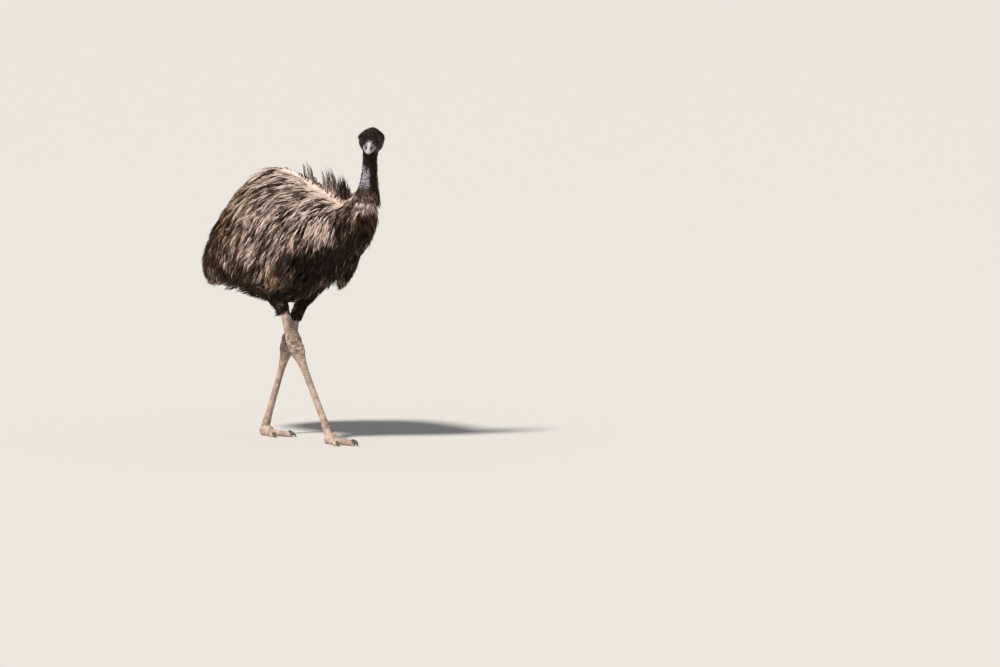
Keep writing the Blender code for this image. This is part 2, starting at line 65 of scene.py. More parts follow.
SIGNS = {"left": 1.0, "right": -1.0}
SIDES = tuple(SIGNS)
BODY_NODES = ("tail", "rump", "trunk", "breast", "neck_lower", "neck_middle", "neck_upper")
THIGH_NODES = ("thigh_left", "thigh_right")
LEG_NODES = tuple(
    part + "_" + side
    for side in SIDES
    for part in ("shank", "hock", "tarsus", "foot", "toe_inner", "toe_middle", "toe_outer")
)

# The head's own axes: X to the bird's left, -Y along the skull to the face, Z up. Places on the
# head are given in them, from the base of the skull.
EYE_FORWARD = 0.036
EYE_RISE = 0.058
BILL_DROP = math.radians(14.4)
EYE_AXIS = Vector((1.0, -0.42, 0.03)).normalized()
NOSTRIL_PLACE = np.array((0.0108, -0.1095, 0.0520))
NOSTRIL_SHAPE = (0.85, 1.9, 1.1)
# Painted shade over the whole lower bill, which lies under the upper one
LOWER_BILL_SHADE = 0.75
GAPE_START = np.array((0.030, -0.072, 0.043))
GAPE_END = np.array((0.047, -0.034, 0.034))
EAR_PLACE = np.array((0.0500, 0.012, 0.040))
BROW_MIDDLE = (0.0, -0.028, 0.072)

# Cube sizes of the remeshed forms. A body form is coarse, because plumage hides it.
BODY_VOXEL = 0.006
WING_VOXEL = 0.004
HEAD_VOXEL = 0.0030
BARE_HEAD_VOXEL = 0.0020
FILLED_HEAD_VOXEL = 0.0018
SKIN_VOXEL = 0.0022
BILL_VOXEL = 0.0010
CLAW_VOXEL = 0.0009

# Bands over which one kind of cover gives way to the next: a low and a high mark
SHANK_BARE = (0.574, 0.592)
SHANK_SHOWN = (0.580, 0.600)
NECK_FRONT = (0.250, 0.330)
NECK_RISE = (1.020, 1.120)
BARE_NECK_FOOT = (1.104, 1.128)
BARE_NECK_TOP = (1.206, 1.230)
FACE_RISE = (1.225, 1.255)
FACE_FRONT = (0.33, 0.36)

# How deep the plumage lies over the skin
TRUNK_COAT = 0.046
NECK_COAT = 0.0045
NECK_ROOT_DEPTH = 0.0042
PARTING_COAT = 0.011
THIGH_COAT = 0.010
LEAST_COAT = 0.0015
CROWN_COAT = 0.009
CHEEK_COAT = 0.003
WING_COAT = 0.008

# Balls that fill the crease under the head and the step between thigh and shank: how far up
# from the throat or the shank's top, and the radius
THROAT_BALLS = ((0.0, 0.0285), (0.018, 0.0290))
THIGH_BALLS = ((-0.006, 0.0145), (0.008, 0.0145), (0.022, 0.0145))

# Round the eyes: how the lids rise over the eyeball and crease, how far the skin runs in behind
# it, and the ring that is kept clear of feathers
LID_THICKNESS = 0.0002
LID_RISE = 0.0011
BROW_RISE = 0.0012
LID_CREASE = 0.0009
BEHIND_EYE = 0.0022
LID_EDGE_RISE = 0.0018
SOCKET_SWELL = 0.0012
CORNEA_RISE = 0.0007
EYE_REACH = 0.024
EYE_CLEARANCE = 0.0180

# Sizes of what repeats: leg plates, bands over the toes, folds round the neck, and the steps
# from tuft to tuft
PLATE_HEIGHT = 0.0125
TOE_BAND_WIDTH = 0.0085
NECK_FOLD_WIDTH = 0.0095
HEAD_PLUMAGE_SPACING = 0.0057
NECK_PLUMAGE_SPACING = 0.0079
THIGH_PLUMAGE_SPACING = 0.0088
WING_PLUMAGE_SPACING = 0.0125

# Heights of the relief on skin and bill
GAPE_FOLD_RISE, GAPE_FOLD_DEPTH = 0.0008, 0.0016
EAR_DEPTH, EAR_RIM_RISE = 0.0032, 0.0012
NECK_FOLD_RISE = 0.0012
NECK_GRAIN = 0.0010
PLATE_RISE = 0.0009
TOE_BAND_RISE = 0.0008
HOCK_KNOBS = 0.0042
LEG_GRAIN = 0.0012
BILL_HOLLOW_DEPTH, NOSTRIL_DEPTH = 0.0013, 0.0016

# Other lengths and places, in metres
MEETING_SWELL = 0.0004
UPPER_BILL_SWELL = 0.0006
THROAT_DEPTH = 0.020
THROAT_SMOOTHING = 0.16
LEFT_THIGH_DROP = 0.046
WING_SKIN_DEPTH = 0.0085
WING_SKIN_SHIFT = 0.034
SHANK_TOP = 0.024
LEG_OVERLAP = 0.012
PARTING_FRONT, PARTING_REAR = -0.335, 0.110
ABOVE_BACK = 1.3
LOWEST_BODY_ROOT = 0.600

# Counts and shares
PARTING_ROOTS = 75
HEAD_STEPS = 5
COVERED_FACES_LOST = 0.93
BARE_NECK_TUFTS_LOST = 0.93
DARK_TUFTS = 0.36

# A tuft's patch and the margin, on a map of 1 by 1
UV_PATCH = 0.003
UV_MARGIN = 0.001

# Marked spots of the plumage, alike on both sides: middle, with X from the midline, and reach
SHOULDER_PATCH = ((0.158, -0.266, 0.930), (0.052, 0.040, 0.074))
# Painted shadow of the neck ruff: a dark band down each side of the breast
RUFF_SHADOW = ((0.108, -0.335, 0.965), (0.052, 0.055, 0.150))
PALE_COLLAR = ((0.036, -0.392, 1.024), (0.066, 0.066, 0.036))
PALE_FLANK = ((0.200, 0.090, 0.960), (0.110, 0.100, 0.090))
WING_TIP = ((0.235, -0.045, 0.735), (0.060, 0.070, 0.070))

# Tones of the plumage, from 0, black-brown, to 1, cream. One over 1 fills a spot to its edge.
COMMON_TONE = 0.55
PARTING_TONE = 1.25
SPOT_TONE = 1.20

# Bands of the plumage along the body, each a pair of pieces: name, and front and rear end on Y
BODY_BANDS = (
    ("tail", 0.350, 1.0),
    ("rump", 0.215, 0.350),
    ("loin", 0.090, 0.215),
    ("flank", -0.030, 0.090),
    ("shoulder", -0.160, -0.030),
    ("breast", -1.0, -0.160),
)

# For each raised plume: its number of locks, how pale its foot and its tips are, and its lean
PLUMES = {"mantle_plume_rear": (14, 0.50, 0.15, 0.026),
          "mantle_plume_middle": (56, 1.10, 0.16, 0.018),
          "mantle_plume_front": (56, 0.30, 0.03, 0.014)}

FLOOR_SIDES = 96
FLOOR_DROP = 0.0005
LENS = 200.0
SENSOR_WIDTH = 36.0
CLIP_START, CLIP_END = 0.5, 400.0
CAMERA_PLACE = (-18.6522, -15.6201, 2.5587)
CAMERA_AZIMUTH = math.radians(-52.144)
CAMERA_ELEVATION = math.radians(4.922)

# Numbers of the Mix node's colour sockets, whose names it uses for other kinds too
MIX_FIRST, MIX_SECOND, MIX_RESULT = 6, 7, 2


# Shader maths -----------------------------------------------------------------------------------

class Wire:
    """A socket in an expression. Arithmetic on it adds Math nodes."""

    def __init__(self, shader, socket):
        self.shader = shader
        self.socket = socket

    def __add__(self, other):
        return self.shader.maths("ADD", self, other)

    def __sub__(self, other):
        return self.shader.maths("SUBTRACT", self, other)

    def __mul__(self, other):
        return self.shader.maths("MULTIPLY", self, other)

    def __radd__(self, other):
        return self.shader.maths("ADD", other, self)

    def __rsub__(self, other):
        return self.shader.maths("SUBTRACT", other, self)

    def __rmul__(self, other):
        return self.shader.maths("MULTIPLY", other, self)


class Shader:
    """A material with one Principled shader, and the nodes behind it."""

    def __init__(self, name, **constants):
        self.material = bpy.data.materials.new(name)
        self.material.use_nodes = True
        self.tree = self.material.node_tree
        self.surface = self.tree.nodes["Principled BSDF"]
        for socket, value in constants.items():
            self.surface.inputs[socket.replace("_", " ")].default_value = value

    def add(self, kind, settings=None, inputs=None, output=0):
        """Any node: its settings first, then the values or links of its sockets."""
        node = self.tree.nodes.new(kind)
        for key, value in (settings or {}).items():
            if key == "stops":
                self.set_stops(node.color_ramp.elements, value)
            else:
                setattr(node, key, value)
        for key, value in (inputs or {}).items():
            self.feed(node.inputs[key], value)
        return Wire(self, node.outputs[output])

    def set_stops(self, elements, stops):
        """Give a ramp its stops, each a place and a colour."""
        while len(elements) < len(stops):
            elements.new(1.0)
        for element, (place, colour) in zip(elements, stops):
            element.position = place
            element.color = (*colour, 1.0)

    def feed(self, socket, value):
        """Link a wire to a socket, or set the socket to a value."""
        if isinstance(value, Wire):
            self.tree.links.new(value.socket, socket)
        else:
            socket.default_value = value

    def maths(self, operation, first, second):
        """A Math node on two values."""
        return self.add("ShaderNodeMath", {"operation": operation}, {0: first, 1: second})

    def mix(self, share, first, second):
        """Mix two colours."""
        inputs = {0: share, MIX_FIRST: colour4(first), MIX_SECOND: colour4(second)}
        return self.add("ShaderNodeMix", {"data_type": "RGBA"}, inputs, MIX_RESULT)

    def ramp(self, value, stops):
        """The colour that a row of stops gives each value."""
        return self.add("ShaderNodeValToRGB", {"stops": stops}, {"Fac": value})

    def smooth(self, value, low, high):
        """0 below low, 1 above high and a smooth step between."""
        inputs = {"Value": value, "From Min": low, "From Max": high}
        return self.add("ShaderNodeMapRange", {"interpolation_type": "SMOOTHSTEP"}, inputs)

    def noise(self, place, scale, detail=2.0, roughness=0.5):
        """Clouded noise, finer as scale grows."""
        inputs = {"Vector": place, "Scale": scale, "Detail": detail, "Roughness": roughness}
        return self.add("ShaderNodeTexNoise", {}, inputs)

    def cell_edges(self, place, scale):
        """Distance to the nearest edge between irregular cells."""
        inputs = {"Vector": place, "Scale": scale}
        return self.add("ShaderNodeTexVoronoi", {"feature": "DISTANCE_TO_EDGE"}, inputs)

    def place(self):
        """Where a point is on the object."""
        return self.add("ShaderNodeTexCoord", output="Object")

    def stretched(self, place, scale):
        """A place scaled along each axis, to draw a pattern out."""
        return self.add("ShaderNodeVectorMath", {"operation": "MULTIPLY"}, {0: place, 1: scale})

    def mark(self, name):
        """The four channels of a colour attribute, as values."""
        colour = self.add("ShaderNodeAttribute", {"attribute_name": name})
        split = self.add("ShaderNodeSeparateColor", {}, {0: colour})
        channels = [*split.socket.node.outputs, colour.socket.node.outputs["Alpha"]]
        return [Wire(self, channel) for channel in channels]

    def bump(self, height, strength, distance):
        """Normals that follow a height."""
        inputs = {"Strength": strength, "Distance": distance, "Height": height}
        return self.add("ShaderNodeBump", {}, inputs)

    def finish(self, **wires):
        """Feed the surface's sockets and hand over the material."""
        for socket, wire in wires.items():
            self.feed(self.surface.inputs[socket.replace("_", " ")], wire)
        return self.material


def colour4(colour):
    """A colour with its alpha, unless it is a wire."""
    return colour if isinstance(colour, Wire) else (*colour[:3], 1.0)


# Sums on many points ----------------------------------------------------------------------------

def eased(value, low, high):
    """0 below low, 1 above high and a smooth step between, for arrays."""
    share = np.clip((value - low) / (high - low), 0.0, 1.0)
    return share * share * (3.0 - 2.0 * share)


def fading(value, low, high):
    """1 below low, 0 above high and a smooth step between, for arrays."""
    return 1.0 - eased(value, low, high)


def unit(vectors):
    """Vectors scaled to a length of 1."""
    return vectors / np.maximum(np.linalg.norm(vectors, axis=-1, keepdims=True), 1e-9)


def along_plane(vectors, normals):
    """The part of each vector that lies in the plane across its normal."""
    return vectors - normals * (vectors * normals).sum(-1, keepdims=True)


def lattice_value(cells, seed):
    """A fixed pseudo-random number from 0 to 1 for each whole-numbered cell."""
    mixed = cells.astype(np.int64) @ np.array((73856093, 19349663, 83492791)) + seed * 2654435761
    mixed = (mixed ^ (mixed >> 13)) * 1274126177
    return ((mixed ^ (mixed >> 16)) & 0xFFFF) / 65535.0


def mottle(points, size, seed=0):
    """Smooth noise from 0 to 1 with blotches about size across."""
    scaled = points / size
    cell = np.floor(scaled)
    share = scaled - cell
    share = share * share * (3.0 - 2.0 * share)
    total = np.zeros(len(points))
    for corner in np.ndindex(2, 2, 2):
        weight = np.prod(np.where(corner, share, 1.0 - share), axis=1)
        total += weight * lattice_value(cell + corner, seed)
    return total


def wander(points, size, seeds):
    """A smooth random vector for each point, each part from -0.5 to 0.5."""
    return np.stack([mottle(points, size, seed) for seed in seeds], axis=1) - 0.5


def within(points, centre, reach):
    """1 at the centre of an ellipsoid, falling smoothly to 0 at its edge."""
    gap = np.linalg.norm((points - np.array(centre)) / np.array(reach), axis=1)
    return fading(gap, 0.35, 1.0)


# The frame's forms ------------------------------------------------------------------------------

def joined_nodes(names, swell=MEETING_SWELL):
    """The named solids in one BMesh, each swollen a little so that they meet."""
    whole = bmesh.new()
    for name in names:
        one = bmesh.new()
        one.from_mesh(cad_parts[name].data)
        bmesh.ops.remove_doubles(one, verts=one.verts, dist=1e-5)
        bmesh.ops.recalc_face_normals(one, faces=one.faces)
        one.normal_update()
        for vertex in one.verts:
            vertex.co += vertex.normal * swell
        pour(mesh_of(one, name), whole)
    return whole


def mesh_of(builder, name):
    """A mesh from a BMesh, which is freed."""
    mesh = bpy.data.meshes.new(name)
    builder.to_mesh(mesh)
    builder.free()
    return mesh


def pour(mesh, builder):
    """Put a mesh into a BMesh and remove it."""
    builder.from_mesh(mesh)
    bpy.data.meshes.remove(mesh)


def placed(name, data):
    """A new object in the scene."""
    made = bpy.data.objects.new(name, data)
    bpy.context.scene.collection.objects.link(made)
    return made


def through_modifier(mesh, kind, group=None, **settings):
    """The mesh after one modifier. A group lists the vertices that the modifier works on."""
    carrier = placed("carrier", mesh)
    if group is not None:
        carrier.vertex_groups.new(name="worked").add(group, 1.0, "REPLACE")
        settings["vertex_group"] = "worked"
    modifier = carrier.modifiers.new(kind, kind)
    for key, value in settings.items():
        setattr(modifier, key, value)
    graph = bpy.context.evaluated_depsgraph_get()
    made = bpy.data.meshes.new_from_object(carrier.evaluated_get(graph))
    bpy.data.objects.remove(carrier)
    bpy.data.meshes.remove(mesh)
    return made


def remeshed(builder, voxel):
    """One even closed mesh around everything in a BMesh."""
    return through_modifier(mesh_of(builder, "form"), "REMESH", mode="VOXEL", voxel_size=voxel)


def vectors_of(parts, field):
    """One vector for each vertex, normal or face."""
    flat = np.empty(len(parts) * 3, np.float32)
    parts.foreach_get(field, flat)
    return flat.reshape(-1, 3).astype(float)


def points_of(mesh):
    """Places of a mesh's vertices."""
    return vectors_of(mesh.vertices, "co")


def normals_of(mesh):
    """Normals of a mesh's vertices."""
    return vectors_of(mesh.vertex_normals, "vector")


def move_points(mesh, points):
    """Put a mesh's vertices at new places."""
    mesh.vertices.foreach_set("co", points.astype(np.float32).ravel())
    mesh.update()


def relaxed(mesh, points, rounds, amount=0.5, where=None):
    """Smooth points along the mesh's edges. where is a share from 0 to 1 for each point."""
    ends = np.empty(len(mesh.edges) * 2, np.int32)
    mesh.edges.foreach_get("vertices", ends)
    first, second = ends.reshape(-1, 2).T
    count = np.bincount(first, minlength=len(points)) + np.bincount(second, minlength=len(points))
    pull = amount if where is None else amount * where[:, None]
    for _ in range(rounds):
        mean = np.stack([
            np.bincount(first, points[second, axis], len(points))
            + np.bincount(second, points[first, axis], len(points))
            for axis in range(3)
        ], axis=1) / np.maximum(count, 1)[:, None]
        points = points + (mean - points) * pull
    return points


class Surface:
    """A closed form that can be asked for the nearest place on it."""

    def __init__(self, mesh):
        self.points = points_of(mesh)
        self.normals = relaxed(mesh, normals_of(mesh), 6)
        faces = [tuple(face.vertices) for face in mesh.polygons]
        self.faces = np.array([face[:3] for face in faces])
        self.tree = BVHTree.FromPolygons(self.points.tolist(), faces)

    def nearest(self, points):
        """Nearest place and outward normal for each point."""
        found = [self.tree.find_nearest(point) for point in points.tolist()]
        places = np.array([hit[0] for hit in found])
        normals = self.normals[self.faces[[hit[2] for hit in found]]].mean(axis=1)
        return places, unit(normals)


def middle_of(name):
    """Middle of a node's box."""
    low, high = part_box(name)
    return (low + high) / 2


def node_points(name):
    """Places of a node's vertices."""
    return points_of(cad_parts[name].data)


def head_axes():
    """Matrix from the head's own axes to the world, from the eyes and the bill's tip."""
    left = middle_of("eye_left")
    right = middle_of("eye_right")
    middle = (left + right) / 2
    across = (left - right).normalized()
    bill = node_points("bill_upper")
    tip = Vector(bill[np.linalg.norm(bill - np.array(middle), axis=1).argmax()])
    to_tip = tip - middle
    to_tip = (to_tip - across * to_tip.dot(across)).normalized()
    over_tip = across.cross(-to_tip)
    back = -to_tip * math.cos(BILL_DROP) - over_tip * math.sin(BILL_DROP)
    up = across.cross(back)
    place = middle + back * EYE_FORWARD - up * EYE_RISE
    turn = Matrix((across, back, up)).transposed()
    return Matrix.Translation(place) @ turn.to_4x4()


HEAD_AXES = head_axes()
HEAD_TURN = np.array(HEAD_AXES.to_3x3())
HEAD_PLACE = np.array(HEAD_AXES.translation)
MIDLINE = middle_of("trunk").x
THROAT = node_points("neck_upper")
THROAT = THROAT[THROAT[:, 2] > THROAT[:, 2].max() - THROAT_DEPTH].mean(axis=0)


def in_head(points):
    """Points in the head's own axes."""
    return (points - HEAD_PLACE) @ HEAD_TURN


def in_half_head(points):
    """Points in the head's own axes, with the right half folded onto the left one."""
    local = in_head(points)
    local[:, 0] = np.abs(local[:, 0])
    return local


# Where things lie on the bird -------------------------------------------------------------------

def above_shank(points):
    """Height as if both thighs ended where the right one does. The left one reaches lower."""
    return points[:, 2] + LEFT_THIGH_DROP * (points[:, 0] > MIDLINE)


def bare_leg(points):
    """1 on the bare legs and feet, 0 above them."""
    return fading(above_shank(points), *SHANK_BARE)


def neck_share(points):
    """0 on the trunk, 1 on the upper neck and head."""
    return eased(-points[:, 1], *NECK_FRONT) * eased(points[:, 2], *NECK_RISE)


def bare_neck(points):
    """1 on the bare bluish skin at the sides of the neck, between dark throat and nape."""
    low, high = np.array(middle_of("neck_middle")), np.array(middle_of("neck_upper"))
    share = (points[:, 2] - low[2]) / (high[2] - low[2])
    ray = unit((points - low - share[:, None] * (high - low)) * (1.0, 1.0, 0.0))
    side = np.abs(ray[:, 0]) + 0.26 * (mottle(points, 0.012, 67) - 0.5)
    bare = eased(side, 0.54, 0.74) * (ray[:, 1] < 0) + eased(side, 0.42, 0.64) * (ray[:, 1] >= 0)
    ragged = points[:, 2] + 0.020 * (mottle(points, 0.016, 71) - 0.5)
    slant = ragged - 0.022 * ray[:, 1]
    band = eased(ragged, *BARE_NECK_FOOT) * fading(slant, *BARE_NECK_TOP)
    return bare * band * eased(-points[:, 1], 0.300, 0.340)


def parting_line(y):
    """Where the parting along the back runs: off the middle as it nears the neck."""
    return np.interp(y, (-0.324, -0.085, 0.072), (-0.050, -0.014, 0.004))


def parting_share(points, narrow, wide):
    """1 along the parting of the back, 0 beyond wide on either side of it."""
    y, z = points[:, 1], points[:, 2]
    share = fading(np.abs(points[:, 0] - parting_line(y)), narrow, wide)
    return share * eased(z, 1.00, 1.03) * fading(-y, 0.335, 0.36)


def spot(points, marked, side):
    """1 in the middle of a marked spot, 0 outside it. side is 1 for the left, -1 for the right."""
    (out, y, z), reach = marked
    return within(points, (MIDLINE + side * out, y, z), reach)


def trunk_tones(points, streaks):
    """Blotched tones of back and flanks, darker at the rear, darker on the breast partly by
    painted shade, and darker low on the body and at the hem by painted shade under the belly.
    """
    y, z = points[:, 1], points[:, 2]
    pale = COMMON_TONE + 0.50 * (mottle(points, 0.085, 3) - 0.5)
    pale = pale + 0.42 * (mottle(points, 0.030, 5) - 0.5)
    pale += 0.07 * eased(z, 1.04, 1.14) + 0.05 * eased(y, 0.10, 0.20) * eased(z, 0.72, 0.82)
    pale -= (0.06 + 0.28 * eased(z, 0.76, 0.86)) * eased(y, 0.18, 0.30)
    # Painted shade under the body: darker low down, and darker still along the lower edge.
    pale -= 0.12 * fading(z, 0.78, 0.88)
    hem = z + 0.045 * eased(y, 0.10, 0.24) + 0.05 * (streaks - 0.5)
    pale -= 0.27 * fading(hem, 0.67, 0.79)
    # Darker breast front, partly its own dark feathers and partly painted shade.
    front = eased(-y, 0.06, 0.24) * fading(z + 0.05 * (streaks - 0.5), 0.78, 0.93)
    pale -= (0.56 - 0.20 * streaks) * front
    pale -= 0.25 * eased(-y, 0.24, 0.32) * fading(z, 0.80, 0.88)
    pale += 0.09 * eased(y, 0.16, 0.30) * fading(z, 0.76, 0.82)
    return pale


def ragged_parting(points):
    """1 along the pale parting of the back, with a ragged edge."""
    rag = 0.030 * (mottle(points, 0.018, 83) - 0.5)
    parting = parting_share(points + (1.0, 0.0, 0.0) * rag[:, None], 0.026, 0.060)
    return parting * eased(-points[:, 1], -0.13, -0.03)


def paleness(points):
    """How pale the plumage is at each place, from 0, black-brown, to 1, cream, with painted shade
    under the belly and on the breast, and a painted shadow of the neck ruff.
    """
    y, z = points[:, 1], points[:, 2]
    streaks = mottle(points * (1.0, 1.0, 0.5), 0.020, 101)
    pale = trunk_tones(points, streaks)
    parting = ragged_parting(points)
    pale += (PARTING_TONE - pale) * parting
    neck = neck_share(points) * eased(z, 1.052, 1.070) * (1.0 - parting)
    foot = fading(z, 1.10, 1.14) * mottle(points, 0.014, 97)
    pale += (0.06 + 0.24 * foot - pale) * neck
    # Chest front: tan high up and darker low down, partly its own colour and partly painted shade.
    chest = fading(np.abs(points[:, 0] - MIDLINE), 0.060, 0.095) * eased(-y, 0.290, 0.325)
    chest *= fading(z, 1.050, 1.070)
    pale += ((0.10 + 0.26 * streaks) * eased(z, 0.88, 0.97) - pale) * chest
    ragged = points.copy()
    ragged[:, 2] += 0.030 * (mottle(points * (1.0, 1.0, 0.4), 0.011, 89) - 0.5)
    for side in (-1.0, 1.0):
        pale += 0.16 * spot(points, PALE_FLANK, side)
        # Painted shadow of the neck ruff, darkening a band down each side of the breast
        deep = 0.03 + (0.04 + 0.28 * streaks) * eased(z, 0.85, 0.93)
        pale += (deep - pale) * np.minimum(1.0, 1.5 * spot(points, RUFF_SHADOW, side))
        for marked, strength in ((SHOULDER_PATCH, 1.2), (PALE_COLLAR, 1.8)):
            share = np.minimum(1.0, strength * spot(ragged, marked, side))
            pale += (SPOT_TONE - pale) * share
    return np.clip(pale, 0.02 + 0.09 * streaks, 1.1)


def warmth(points):
    """How golden the plumage is: most at the wing tips and on the breast."""
    x = points[:, 0] - MIDLINE
    golden = np.zeros(len(points))
    for side in (-1.0, 1.0):
        golden += spot(points, WING_TIP, side)
    breast = fading(np.abs(x), 0.06, 0.11) * eased(-points[:, 1], 0.28, 0.34)
    breast *= fading(points[:, 2], 0.985, 1.015)
    rear = 0.05 + 0.80 * eased(points[:, 1], 0.00, 0.24)
    body = rear * (0.3 + mottle(points, 0.10, 11)) * (1.0 - neck_share(points))
    return np.clip(golden + breast + body, 0.0, 1.0)


def coat_depth(points, normals):
    """Depth of the plumage over the skin of trunk, neck and thighs."""
    y, z = points[:, 1], points[:, 2]
    depth = np.full(len(points), TRUNK_COAT)
    depth -= 0.022 * eased(-y, 0.12, 0.30)
    depth -= 0.012 * eased(z, 1.00, 1.10) * fading(np.abs(y - 0.02), 0.16, 0.30)
    depth += 0.022 * eased(y, 0.22, 0.42)
    depth += 0.012 * eased(-normals[:, 2], 0.2, 0.8) * eased(y, -0.05, 0.15)
    parting = parting_share(points, 0.010, 0.100) * eased(-y, -0.30, -0.15)
    depth += (PARTING_COAT - depth) * parting
    depth += (NECK_COAT - depth) * eased(z, 0.98, 1.14) * eased(-y, *NECK_FRONT)
    height = above_shank(points)
    depth += (THIGH_COAT - depth) * fading(height, 0.600, 0.650)
    return np.maximum(depth * (0.15 + 0.85 * eased(height, 0.560, 0.595)), LEAST_COAT)


# Skin -------------------------------------------------------------------------------------------

# Forms and finishes that more than one piece uses, each made once
forms = {}


def outer_form():
    """The plumage's outer form over trunk, neck and thighs."""
    if "outer" not in forms:
        mesh = remeshed(joined_nodes(BODY_NODES + THIGH_NODES), BODY_VOXEL)
        forms["outer"] = Surface(mesh)
        forms["outer mesh"] = mesh
    return forms["outer"]


def sunk_body():
    """Trunk, neck and thighs, sunk by the plumage's depth."""
    outer = outer_form()
    mesh = forms["outer mesh"].copy()
    depth = coat_depth(outer.points, outer.normals)
    points = outer.points - outer.normals * depth[:, None]
    move_points(mesh, relaxed(mesh, points, 12))
    return mesh


def sunk_wings():
    """Both wings, sunk under their feathers, with their tops drawn in toward the body."""
    mesh = remeshed(joined_nodes(("wing_left", "wing_right")), WING_VOXEL)
    points = points_of(mesh) - normals_of(mesh) * WING_SKIN_DEPTH
    outward = np.sign(points[:, 0] - MIDLINE)
    points[:, 0] -= outward * WING_SKIN_SHIFT * eased(points[:, 2], 0.78, 0.90)
    move_points(mesh, points)
    return mesh


def add_ball(builder, place, radius):
    """Add a ball to a BMesh, to fill a hollow before a remesh."""
    bmesh.ops.create_icosphere(builder, subdivisions=4, radius=radius,
                               matrix=Matrix.Translation(Vector(place)))


def throat_share(points):
    """1 where the neck runs up into the head, 0 elsewhere."""
    return fading(np.linalg.norm(points - THROAT, axis=1), 0.034, 0.052)


def head_and_neck(voxel, *more):
    """Head and upper neck as one form, with the crease between them filled."""
    builder = joined_nodes(("head", "neck_upper", "neck_middle", *more))
    for rise, radius in THROAT_BALLS:
        add_ball(builder, THROAT + (0.0, 0.0, rise), radius)
    mesh = remeshed(builder, voxel)
    points = points_of(mesh)
    rounds = int(THROAT_SMOOTHING / voxel)
    move_points(mesh, relaxed(mesh, points, rounds, 0.5, throat_share(points)))
    return mesh


def sunk_head(look):
    """Head and upper neck with the sockets filled, sunk under their plumage."""
    builder = bmesh.new()
    pour(head_and_neck(BARE_HEAD_VOXEL), builder)
    for side in SIDES:
        add_ball(builder, middle_of("eye_" + side), look.eye_radius + SOCKET_SWELL)
    mesh = remeshed(builder, FILLED_HEAD_VOXEL)
    points = points_of(mesh)
    depth = np.maximum(head_depth(points), NECK_COAT * eased(-points[:, 2], -1.285, -1.255))
    points = points - normals_of(mesh) * depth[:, None]
    move_points(mesh, relaxed(mesh, points, 3))
    return mesh


def one_skin(look):
    """Everything bare or under plumage as one closed mesh, fine only where it shows."""
    whole = joined_nodes(LEG_NODES)
    for side in SIDES:
        shank = node_points("shank_" + side)
        top = shank[shank[:, 2] > shank[:, 2].max() - SHANK_TOP].mean(axis=0)
        upward = unit(top - np.array(middle_of("hock_" + side)))
        for rise, radius in THIGH_BALLS:
            add_ball(whole, top + upward * rise, radius)
    for mesh in (sunk_body(), sunk_wings(), sunk_head(look)):
        pour(mesh, whole)
    mesh = remeshed(whole, SKIN_VOXEL)
    points = points_of(mesh)
    shown = shown_share(points)
    points = relaxed(mesh, points, 3, 0.5, 1.0 - shown * 0.3)
    points = relaxed(mesh, points, 10, 0.5, 1.0 - shown)
    move_points(mesh, points)
    covered = np.flatnonzero(shown < 0.5)
    ratio = 1.0 - COVERED_FACES_LOST * len(covered) / len(points)
    return through_modifier(mesh, "DECIMATE", covered.tolist(), ratio=ratio,
                            vertex_group_factor=1.0)


def shown_share(points):
    """1 on the bare legs, neck and head, 0 deep under the plumage."""
    leg = fading(above_shank(points), *SHANK_SHOWN)
    neck = eased(points[:, 2], 1.03, 1.05) * eased(-points[:, 1], 0.29, 0.31)
    return np.maximum(leg, neck)


def refine_round(mesh, centres, reach):
    """Cut the faces near each centre finer."""
    builder = bmesh.new()
    builder.from_mesh(mesh)
    centres = [Vector(centre) for centre in centres]
    near = [edge for edge in builder.edges
            if min((edge.verts[0].co - centre).length for centre in centres) < reach]
    bmesh.ops.subdivide_edges(builder, edges=near, cuts=2, use_grid_fill=True)
    builder.to_mesh(mesh)
    builder.free()


def eye_axis(side):
    """Outward axis of an eye in the world."""
    axis = EYE_AXIS.copy()
    axis.x *= SIGNS[side]
    return np.array(HEAD_AXES.to_3x3() @ axis)


def add_lids(points, look):
    """Draw the skin over each eyeball as two lids, and into the head inside their opening."""
    up = HEAD_TURN[:, 2]
    for side in SIDES:
        centre = np.array(middle_of("eye_" + side))
        axis = eye_axis(side)
        rise = unit(up - axis * (up @ axis))
        fore = np.cross(rise, axis)
        ray = points - centre
        far = np.linalg.norm(ray, axis=1)
        ray = ray / np.maximum(far, 1e-9)[:, None]
        angle = np.degrees(np.arccos(np.clip(ray @ axis, -1.0, 1.0)))
        turn = np.arctan2(ray @ rise, ray @ fore)
        lift = np.sin(turn)
        opening = look.lid_opening * (1.0 - 0.26 * lift ** 2 - 0.05 * lift)
        past = angle - opening
        brow = BROW_RISE * np.exp(-((past - 14.0) / 9.0) ** 2) * (lift > 0) * lift
        lid = look.eye_radius + LID_THICKNESS + LID_RISE * eased(past, 0.0, 10.0) + brow
        lid -= LID_CREASE * np.exp(-((past - 24.0) / 5.0) ** 2)
        inside = look.eye_radius - BEHIND_EYE
        wanted = np.where(past > 0.0, lid, inside + LID_EDGE_RISE * eased(past, -5.0, 0.0))
        hold = fading(past, 26.0, 50.0) * fading(far, 0.018, 0.026)
        reach = far + (wanted - far) * hold
        points = np.where((hold > 0)[:, None], centre + ray * reach[:, None], points)
    return points


def neck_ripple(points):
    """Wavering, broken folds round the neck, from -1 to 1."""
    drift = 15.0 * mottle(points, 0.016, 7) + 6.0 * mottle(points, 0.007, 73)
    folds = np.sin(points[:, 2] * math.tau / NECK_FOLD_WIDTH + drift)
    return folds * eased(mottle(points, 0.010, 79), 0.15, 0.60)


